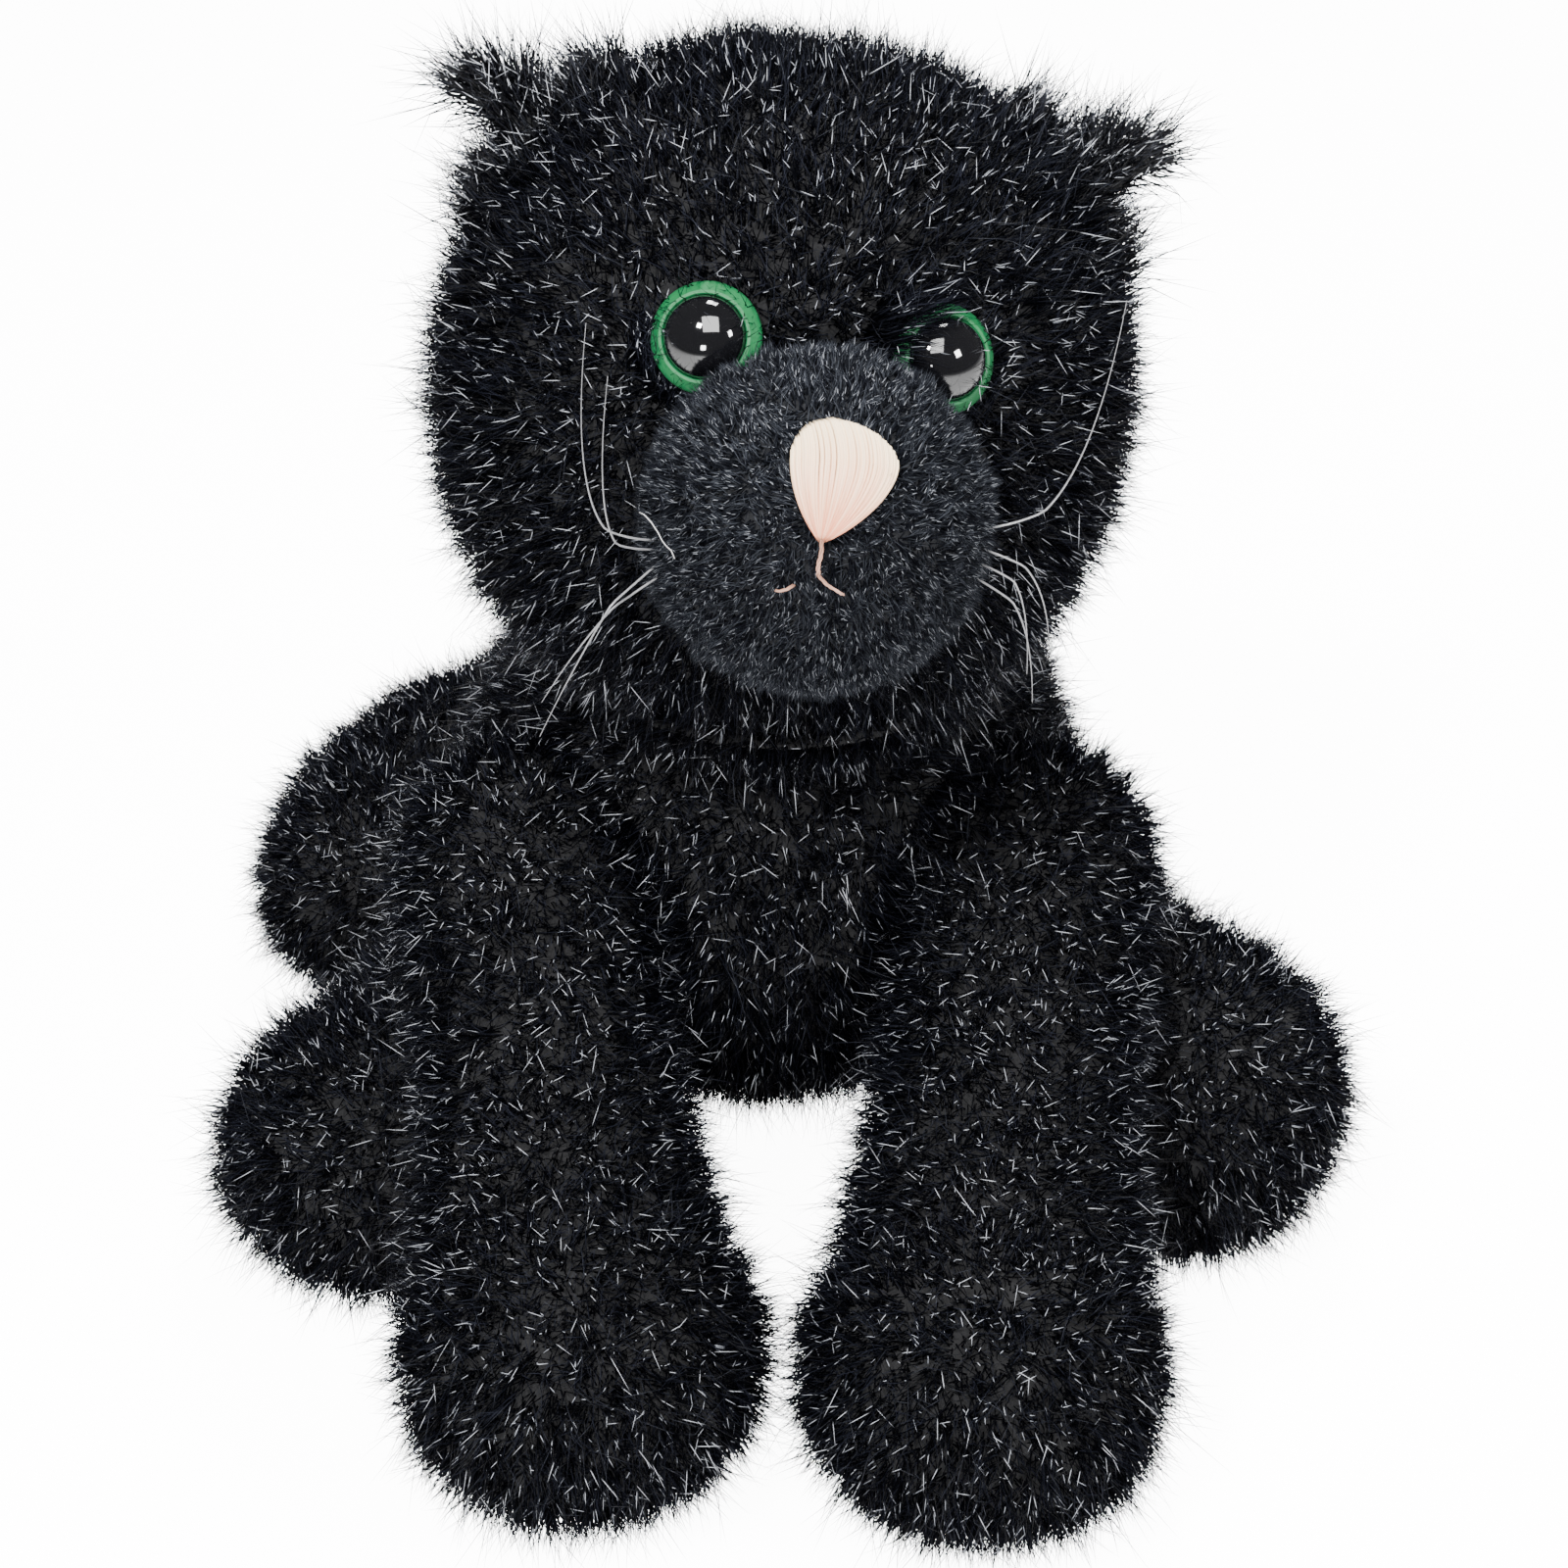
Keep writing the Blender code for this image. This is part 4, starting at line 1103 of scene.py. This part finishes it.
class Threads:
    """Makes round threads and bristles along a path."""

    @staticmethod
    def tube(path: list[Vector], radii: list[float],
             sides: int) -> tuple[np.ndarray, np.ndarray, np.ndarray, np.ndarray]:
        """One closed tube.

        Args:
            path: Its centreline in metres.
            radii: Its radius at each point, in metres.
            sides: How many sides it has.

        Returns:
            Points, face corners, face sides and the map.
        """
        centre = np.array(path)
        travel = unit(np.gradient(centre, axis=0))
        first, second = across(travel)
        rows = []
        angles = np.arange(sides) / sides * math.tau
        for i in range(len(centre)):
            if i and np.dot(first[i], first[i - 1]) < 0.999:
                kept = first[i - 1] - travel[i] * np.dot(first[i - 1], travel[i])
                first[i] = kept / np.linalg.norm(kept)
                second[i] = np.cross(travel[i], first[i])
            spoke = np.cos(angles)[:, None] * first[i] + np.sin(angles)[:, None] * second[i]
            rows.append(centre[i] + radii[i] * spoke)
        points = np.concatenate(rows)
        corners, counts, uv = [], [], []
        last = len(centre) - 1
        for i in range(last):
            for j in range(sides):
                k = (j + 1) % sides
                corners += [i * sides + j, i * sides + k, (i + 1) * sides + k, (i + 1) * sides + j]
                counts.append(4)
                uv += [(j / sides, i / last), ((j + 1) / sides, i / last), ((j + 1) / sides, (i + 1) / last),
                       (j / sides, (i + 1) / last)]
        corners += list(range(sides))[::-1]
        corners += [last * sides + j for j in range(sides)]
        counts += [sides, sides]
        uv += [(0.5, 0.0)] * sides + [(0.5, 1.0)] * sides
        return points, np.array(corners), np.array(counts), np.array(uv)

    @classmethod
    def piece(cls, name: str, tubes: list[tuple[list[Vector], list[float]]], sides: int,
              material: bpy.types.Material, slot: str, body: str) -> bpy.types.Object:
        """Several tubes as one piece.

        Args:
            name: Its name.
            tubes: The path and the radii of each.
            sides: How many sides each tube has.
            material: Its material.
            slot: Not used.
            body: What it rides on.

        Returns:
            The piece.
        """
        points, corners, counts, maps = [], [], [], []
        shift = 0
        for number, (path, radii) in enumerate(tubes):
            p, c, s, m = cls.tube(path, radii, sides)
            m = m * np.array([[0.002, 1.0]]) + np.array([[((number * 37) % 256 + 0.3) / 256.0, 0.0]])
            points.append(p)
            corners.append(c + shift)
            counts.append(s)
            maps.append(m)
            shift += len(p)
        made = mesh_piece(name, np.concatenate(points), np.concatenate(corners), np.concatenate(counts),
                          np.concatenate(maps))
        only_material(made, material)
        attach(made, body)
        LOG.info("%s: %d threads", name, len(tubes))
        return made


@dataclass(frozen=True)
class Nose:
    """The satin-stitched nose and the mouth's stitches. Lengths in millimetres."""

    head: HeadFrame = field(default_factory=HeadFrame)
    width: float = 11.4
    height: float = 13.6
    middle: float = 24.0  # elevation in degrees
    threads: int = 46

    def half_width(self, share: float) -> float:
        """Half of the nose's width at a share of its height.

        Args:
            share: 0 at the rounded top, 1 at the point.

        Returns:
            The half width in millimetres.
        """
        crown = math.sqrt(max(0.0, 1.0 - ((0.4 - min(share, 0.4)) / 0.4) ** 2))
        taper = (1.0 - max(0.0, min(share - 0.4, 0.6) / 0.6) ** 1.7) ** 0.9
        return self.width / 2.0 * max(crown * taper, 0.04)

    def shift(self, share: float) -> float:
        """How far the pad's centre line lies to the left at a share of its height, in millimetres."""
        if share < 0.4:
            return 1.2 * ((0.4 - share) / 0.4) ** 2
        return 1.85 * ((share - 0.4) / 0.6) ** 1.5

    def spot(self, side: float, share: float, above: float) -> Vector:
        """A point of the nose.

        Args:
            side: From -1 at the left edge to 1.
            share: 0 at the top, 1 at the point.
            above: Height over the muzzle's backing in millimetres.

        Returns:
            The point in metres.
        """
        per_mm = math.degrees(1.0 / self.head.muzzle_radius)
        elevation = self.middle + (0.5 - share) * self.height * per_mm
        across_mm = side * self.half_width(share) - self.shift(share)
        azimuth = across_mm * per_mm / math.cos(math.radians(elevation))
        return self.head.on_muzzle(azimuth, elevation, above)

    def build(self) -> None:
        """Makes the pad of threads and the mouth."""
        rng = np.random.default_rng(51)
        tubes = []
        for count, height in ((self.threads // 2, 1.15), (self.threads, 1.6)):
            for i in range(count):
                side = -1.0 + 2.0 * (i + 0.5) / count + rng.normal(0.0, 0.01)
                start = 0.4 * (1.0 - math.sqrt(max(0.0, 1.0 - min(abs(side), 0.98) ** 2)))
                start += rng.random() * 0.012
                path, radii = [], []
                steps = 14
                for k in range(steps + 1):
                    t = k / steps
                    share = start + (1.0 - start) * t
                    # A thread keeps its own place across the pad, so the pad narrows by bunching.
                    spread = side * self.width / 2.0 / self.half_width(share)
                    inside = max(-1.0, min(1.0, spread if share < 0.42 else side))
                    crown = math.sin(math.pi * min(max(t, 0.03), 0.97)) ** 0.35
                    dome = 0.75 * (1.0 - abs(inside) ** 3) * crown
                    lift = height + dome - (1.1 if k in (0, steps) else 0.0) + 0.06 * math.sin(i * 2.4)
                    path.append(self.spot(inside, share, lift))
                    radii.append((0.2 - 0.07 * max(0.0, t - 0.55) / 0.45) * MM)
                tubes.append((path, radii))
        pad = Threads.piece("nose_satin_stitch", tubes, 6, FLOSS.make(), "pink_floss", "head")
        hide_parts("nose_embroidery")
        self.mouth()

    def mouth(self) -> None:
        """Makes the stitches under the nose."""
        per_mm = math.degrees(1.0 / self.head.muzzle_radius)
        tip = self.middle - self.height / 2.0 * per_mm
        start = -self.shift(1.0) * per_mm
        down = [(start, tip + 1.0), (start + 0.2, tip - 3.0), (start - 0.3, tip - 6.5),
                (start + 0.2, tip - 10.0)]
        right = [(start + 0.2, tip - 10.0), (start + 3.0, tip - 12.0), (start + 6.0, tip - 13.5),
                 (start + 8.5, tip - 15.5)]
        left = [(start - 7.0, tip - 14.0), (start - 9.0, tip - 14.8), (start - 12.0, tip - 16.5)]
        for name, routes, node in (("mouth_stitch_long", (down, right), "mouth_stitch_right"),
                                   ("mouth_stitch_short", (left,), "mouth_stitch_left")):
            tubes = [tube for route in routes for tube in self.twisted(route)]
            piece = Threads.piece(name, tubes, 6, STITCH_FLOSS.make(), "pink_floss", "head")
            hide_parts(node)

    def twisted(self, route: list[tuple[float, float]]) -> list[tuple[list[Vector], list[float]]]:
        """Three strands twisted together along a route on the muzzle.

        Args:
            route: Azimuth and elevation pairs in degrees.

        Returns:
            The path and radii of each strand.
        """
        found = []
        steps = 6 * (len(route) - 1)
        for strand in range(3):
            path, radii = [], []
            for k in range(steps + 1):
                spot = k / steps * (len(route) - 1)
                i = min(int(spot), len(route) - 2)
                t = spot - i
                azimuth = route[i][0] + (route[i + 1][0] - route[i][0]) * t
                elevation = route[i][1] + (route[i + 1][1] - route[i][1]) * t
                turn = strand * math.tau / 3.0 + spot * 3.2
                end = math.sin(math.pi * min(max(k / steps, 0.04), 0.96)) ** 0.3
                above = 0.3 + 1.9 * end + 0.13 * math.sin(turn)
                path.append(self.head.on_muzzle(azimuth + 0.4 * math.cos(turn), elevation, above))
                radii.append(0.12 * MM)
            found.append((path, radii))
        return found


@dataclass(frozen=True)
class Whisker:
    """A bristle in the side of the muzzle. Lengths in millimetres."""

    name: str
    side: int
    elevation: float
    out: float
    rise: float
    forward: float
    curl: float
    thickness: float = 0.16

    def build(self, head: HeadFrame) -> None:
        """Makes the bristle.

        Args:
            head: The head's axes.
        """
        turn = head.matrix().to_3x3()
        root = head.on_muzzle(self.side * 72.0, self.elevation, -1.0)
        leave = head.on_muzzle(self.side * 72.0, self.elevation, 2.6) - root
        path, radii = [], []
        steps = 26
        for i in range(steps + 1):
            t = i / steps
            sideways = t + self.curl * t * (1.0 - t)
            upwards = t - self.curl * t * (1.0 - t)
            bend = Vector((self.side * self.out * sideways, -self.forward * t, self.rise * upwards))
            reach = turn @ bend * MM
            path.append(root + leave * min(1.0, 4.0 * t) + reach)
            radii.append(self.thickness * MM * (1.0 - 0.75 * t))
        piece = Threads.piece(self.name + "_bristle", [(path, radii)], 6, BRISTLE.make(), "whisker_bristle",
                              "head")
        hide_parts(self.name)


WHISKERS = (
    Whisker("whisker_left_1", -1, -9.0, 8.0, 25.0, 3.0, 1.0),
    Whisker("whisker_left_2", -1, -12.0, 5.5, 21.0, 6.0, 1.0),
    Whisker("whisker_left_3", -1, -15.0, 9.5, -20.0, 4.0, 0.1),
    Whisker("whisker_left_4", -1, -20.0, 10.0, -15.0, 1.0, 0.15),
    Whisker("whisker_right_1", 1, 4.0, 9.5, 28.0, 3.0, 0.8),
    Whisker("whisker_right_2", 1, -2.0, 6.2, -11.0, 3.0, 0.7),
    Whisker("whisker_right_3", 1, -7.0, 3.6, -11.0, 5.0, 0.8),
    Whisker("whisker_right_4", 1, -12.0, 5.9, -13.5, 1.0, 0.6),
)

ROOT_TUFT_REACH = 0.0155  # metres from the middle of the ear
ROOT_TUFT_RISE = 0.02  # how far the tufts lean upwards, beside the way out from the head
ROOT_TUFTS = Pile(density=3.0, length=9.0, width=0.24, lift=0.9, comb=0.6, stray=0.3, clump_spacing=2.8,
                  clumping=0.85, bent=True)
WISPS = Pile(density=3.2, length=9.5, width=0.2, lift=0.6, comb=0.8, stray=0.4, clump_spacing=2.6,
             clumping=0.7, bent=True)


def loose_fibre(head: HeadFrame) -> None:
    """A pale wavy fibre that lies loose on the left side of the muzzle.

    Args:
        head: The head's axes.
    """
    route = ((-68.0, 1.5), (-64.0, 1.8), (-60.5, 0.5), (-58.0, -2.0), (-56.0, -4.0), (-53.0, -4.8),
             (-50.5, -5.2), (-49.5, -7.5))
    path = [head.on_muzzle(azimuth, elevation, 2.9 + 0.3 * math.sin(i * 1.3))
            for i, (azimuth, elevation) in enumerate(route)]
    Threads.piece("loose_fibre", [(path, [0.075 * MM] * len(path))], 6, STRAY.make(), "whisker_bristle",
                  "head")


@dataclass(frozen=True)
class Ear:
    """A cupped ear: long wispy hair outside, satin inside."""

    side: str

    def build(self, packed: dict[str, bpy.types.Object], head_centre: Vector,
              head_skin: bpy.types.Object) -> None:
        """Makes the ear's skin, hair and lining, and the head's tufts round its root.

        Args:
            packed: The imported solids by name.
            head_centre: In metres.
            head_skin: The skin that the ear is sewn to.
        """
        body = "ear_" + self.side
        shell = PlushBody("ear_" + self.side, body, ("ear_outer_" + self.side,),
                          Comb(Lay.FROM_POINT, head_centre), 60 + len(self.side), voxel=0.7, smoothing=3)
        shell.build_skin(packed, BLACK_BACKING, "long_pile")
        lining = copy_of(packed["ear_lining_" + self.side], "ear_satin_" + self.side)
        subdivision = lining.modifiers.new("even", "REMESH")
        subdivision.mode = "VOXEL"
        subdivision.voxel_size = 0.0004
        soft = lining.modifiers.new("soft", "SMOOTH")
        soft.iterations = 4
        applied(lining)
        lining = largest_part(lining)
        lining.data.shade_smooth()
        only_material(lining, EAR_SATIN.make())
        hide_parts("ear_lining_" + self.side)
        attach(lining, body)
        middle = np.mean([list(v.co) for v in lining.data.vertices], axis=0)

        def outside(points: np.ndarray, normals: np.ndarray) -> np.ndarray:
            """True where the ear's shell faces away from its lining."""
            return np.sum((points - middle) * normals, axis=1) > -0.0002

        shell.coat().grow(WISPS, GUARD_FIBRE, "long_pile", outside, None, "wisps")
        out = Vector(middle) - head_centre

        def near(points: np.ndarray, normals: np.ndarray) -> np.ndarray:
            """True on the head round the ear's root."""
            return np.linalg.norm(points - middle, axis=1) < ROOT_TUFT_REACH

        upwards = out + Vector((0.0, 0.0, ROOT_TUFT_RISE))
        tufts = Coat("ear_root_" + self.side, head_skin, "head", Comb(Lay.ALONG, upwards),
                     80 + len(self.side))
        tufts.grow(ROOT_TUFTS, GUARD_FIBRE, "long_pile", near, None, "tufts")
        LOG.info("ear %s", self.side)


# ---------------------------------------------------------------- trims and studio


def build_trims(packed: dict[str, bpy.types.Object]) -> None:
    """The blank care label and the thread that closes the belly.

    Args:
        packed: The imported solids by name.
    """
    only_material(packed["care_label"], LABEL_CLOTH.make())
    only_material(packed["closing_thread"], BLACK_THREAD.make())


def build_studio() -> None:
    """The floor, the lights and the camera."""
    nothing_selected()
    bpy.ops.mesh.primitive_plane_add(size=Stage.FLOOR.value, location=(0.0, 0.0, -0.0002))
    floor = bpy.context.object
    floor.name = "studio_floor"
    pale, shader = new_material("studio_white")
    shader.inputs["Base Color"].default_value = (0.9, 0.9, 0.9, 1.0)
    shader.inputs["Roughness"].default_value = 1.0
    shader.inputs["Specular IOR Level"].default_value = 0.0
    seen = pale.node_tree.nodes.new("ShaderNodeLightPath")
    glow = pale.node_tree.nodes.new("ShaderNodeMath")
    glow.operation = "MULTIPLY"
    glow.inputs[1].default_value = 12.0
    pale.node_tree.links.new(seen.outputs["Is Camera Ray"], glow.inputs[0])
    pale.node_tree.links.new(glow.outputs[0], shader.inputs["Emission Strength"])
    shader.inputs["Emission Color"].default_value = (1.0, 1.0, 1.0, 1.0)
    only_material(floor, pale)
    bpy.ops.mesh.primitive_uv_sphere_add(segments=48, ring_count=24, radius=Stage.BACKDROP.value)
    backdrop = bpy.context.object
    backdrop.name = "studio_backdrop"
    backdrop.visible_diffuse = False
    backdrop.visible_glossy = False
    backdrop.visible_shadow = False
    only_material(backdrop, pale)
    world = bpy.data.worlds.new("studio")
    world.use_nodes = True
    world.node_tree.nodes["Background"].inputs["Color"].default_value = (1.0, 1.0, 1.0, 1.0)
    world.node_tree.nodes["Background"].inputs["Strength"].default_value = 0.12
    bpy.context.scene.world = world
    for name, place, size, power in (("key", (-0.35, -0.65, 0.95), 0.14, 22.0),
                                     ("fill", (0.75, -0.55, 0.6), 0.2, 9.0),
                                     ("top", (0.1, 0.35, 0.9), 0.25, 10.0),
                                     ("low", (-0.2, -0.95, 0.3), 0.15, 5.0),
                                     ("window", (0.03, -0.45, 0.75), 0.42, 7.0)):
        lamp = bpy.data.lights.new(name, "AREA")
        lamp.energy = power
        lamp.size = size
        made = bpy.data.objects.new(name + "_light", lamp)
        bpy.context.scene.collection.objects.link(made)
        aim = Vector((0.0, 0.0, 0.09)) - Vector(place)
        made.matrix_world = Matrix.Translation(place) @ aim.to_track_quat("-Z", "Y").to_matrix().to_4x4()
    lens = bpy.data.cameras.new("view")
    lens.lens = Stage.LENS_MM.value
    lens.sensor_width = 36.0
    lens.clip_start = 0.01
    camera = bpy.data.objects.new("camera", lens)
    bpy.context.scene.collection.objects.link(camera)
    camera.location = (0.00235, -0.37111, 0.2999)
    camera.rotation_euler = (math.radians(57.0), 0.0, 0.0)
    bpy.context.scene.camera = camera


def main() -> None:
    """Builds the whole cat in order."""
    logging.basicConfig(level=logging.INFO, format="%(name)s: %(message)s")
    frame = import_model()
    packed = frame["nodes"]
    build_studio()
    bodies = plush_bodies(frame)
    for body in bodies:
        body.build_skin(packed, BLACK_BACKING, "long_pile")
    trees = trees_of(bodies)
    thin = 1.0
    for body in bodies:
        coat = body.coat()
        for pile, finish, label in ((UNDERCOAT, LONG_PILE, "undercoat"),
                                    (GUARD_HAIR, GUARD_FIBRE, "guard_hair")):
            spread = replace(pile, density=pile.density * thin)
            coat.grow(spread, finish, "long_pile", None, trees[body.name], label)
    Muzzle().build(packed)
    Nose().build()
    head = HeadFrame()
    for whisker in WHISKERS:
        whisker.build(head)
    loose_fibre(head)
    for side, from_side, length in (("left", Vector((-0.6, -1.0, 0.0)), 5.2),
                                    ("right", Vector((-1.0, -0.15, 0.0)), 9.5)):
        eye = Eye(side)
        eye.build(packed)
        eye.fringe(packed, bodies[0].skin, from_side, length)
        Ear(side).build(packed, head.centre * MM, bodies[0].skin)
    build_trims(packed)


if __name__ == "__main__":
    main()
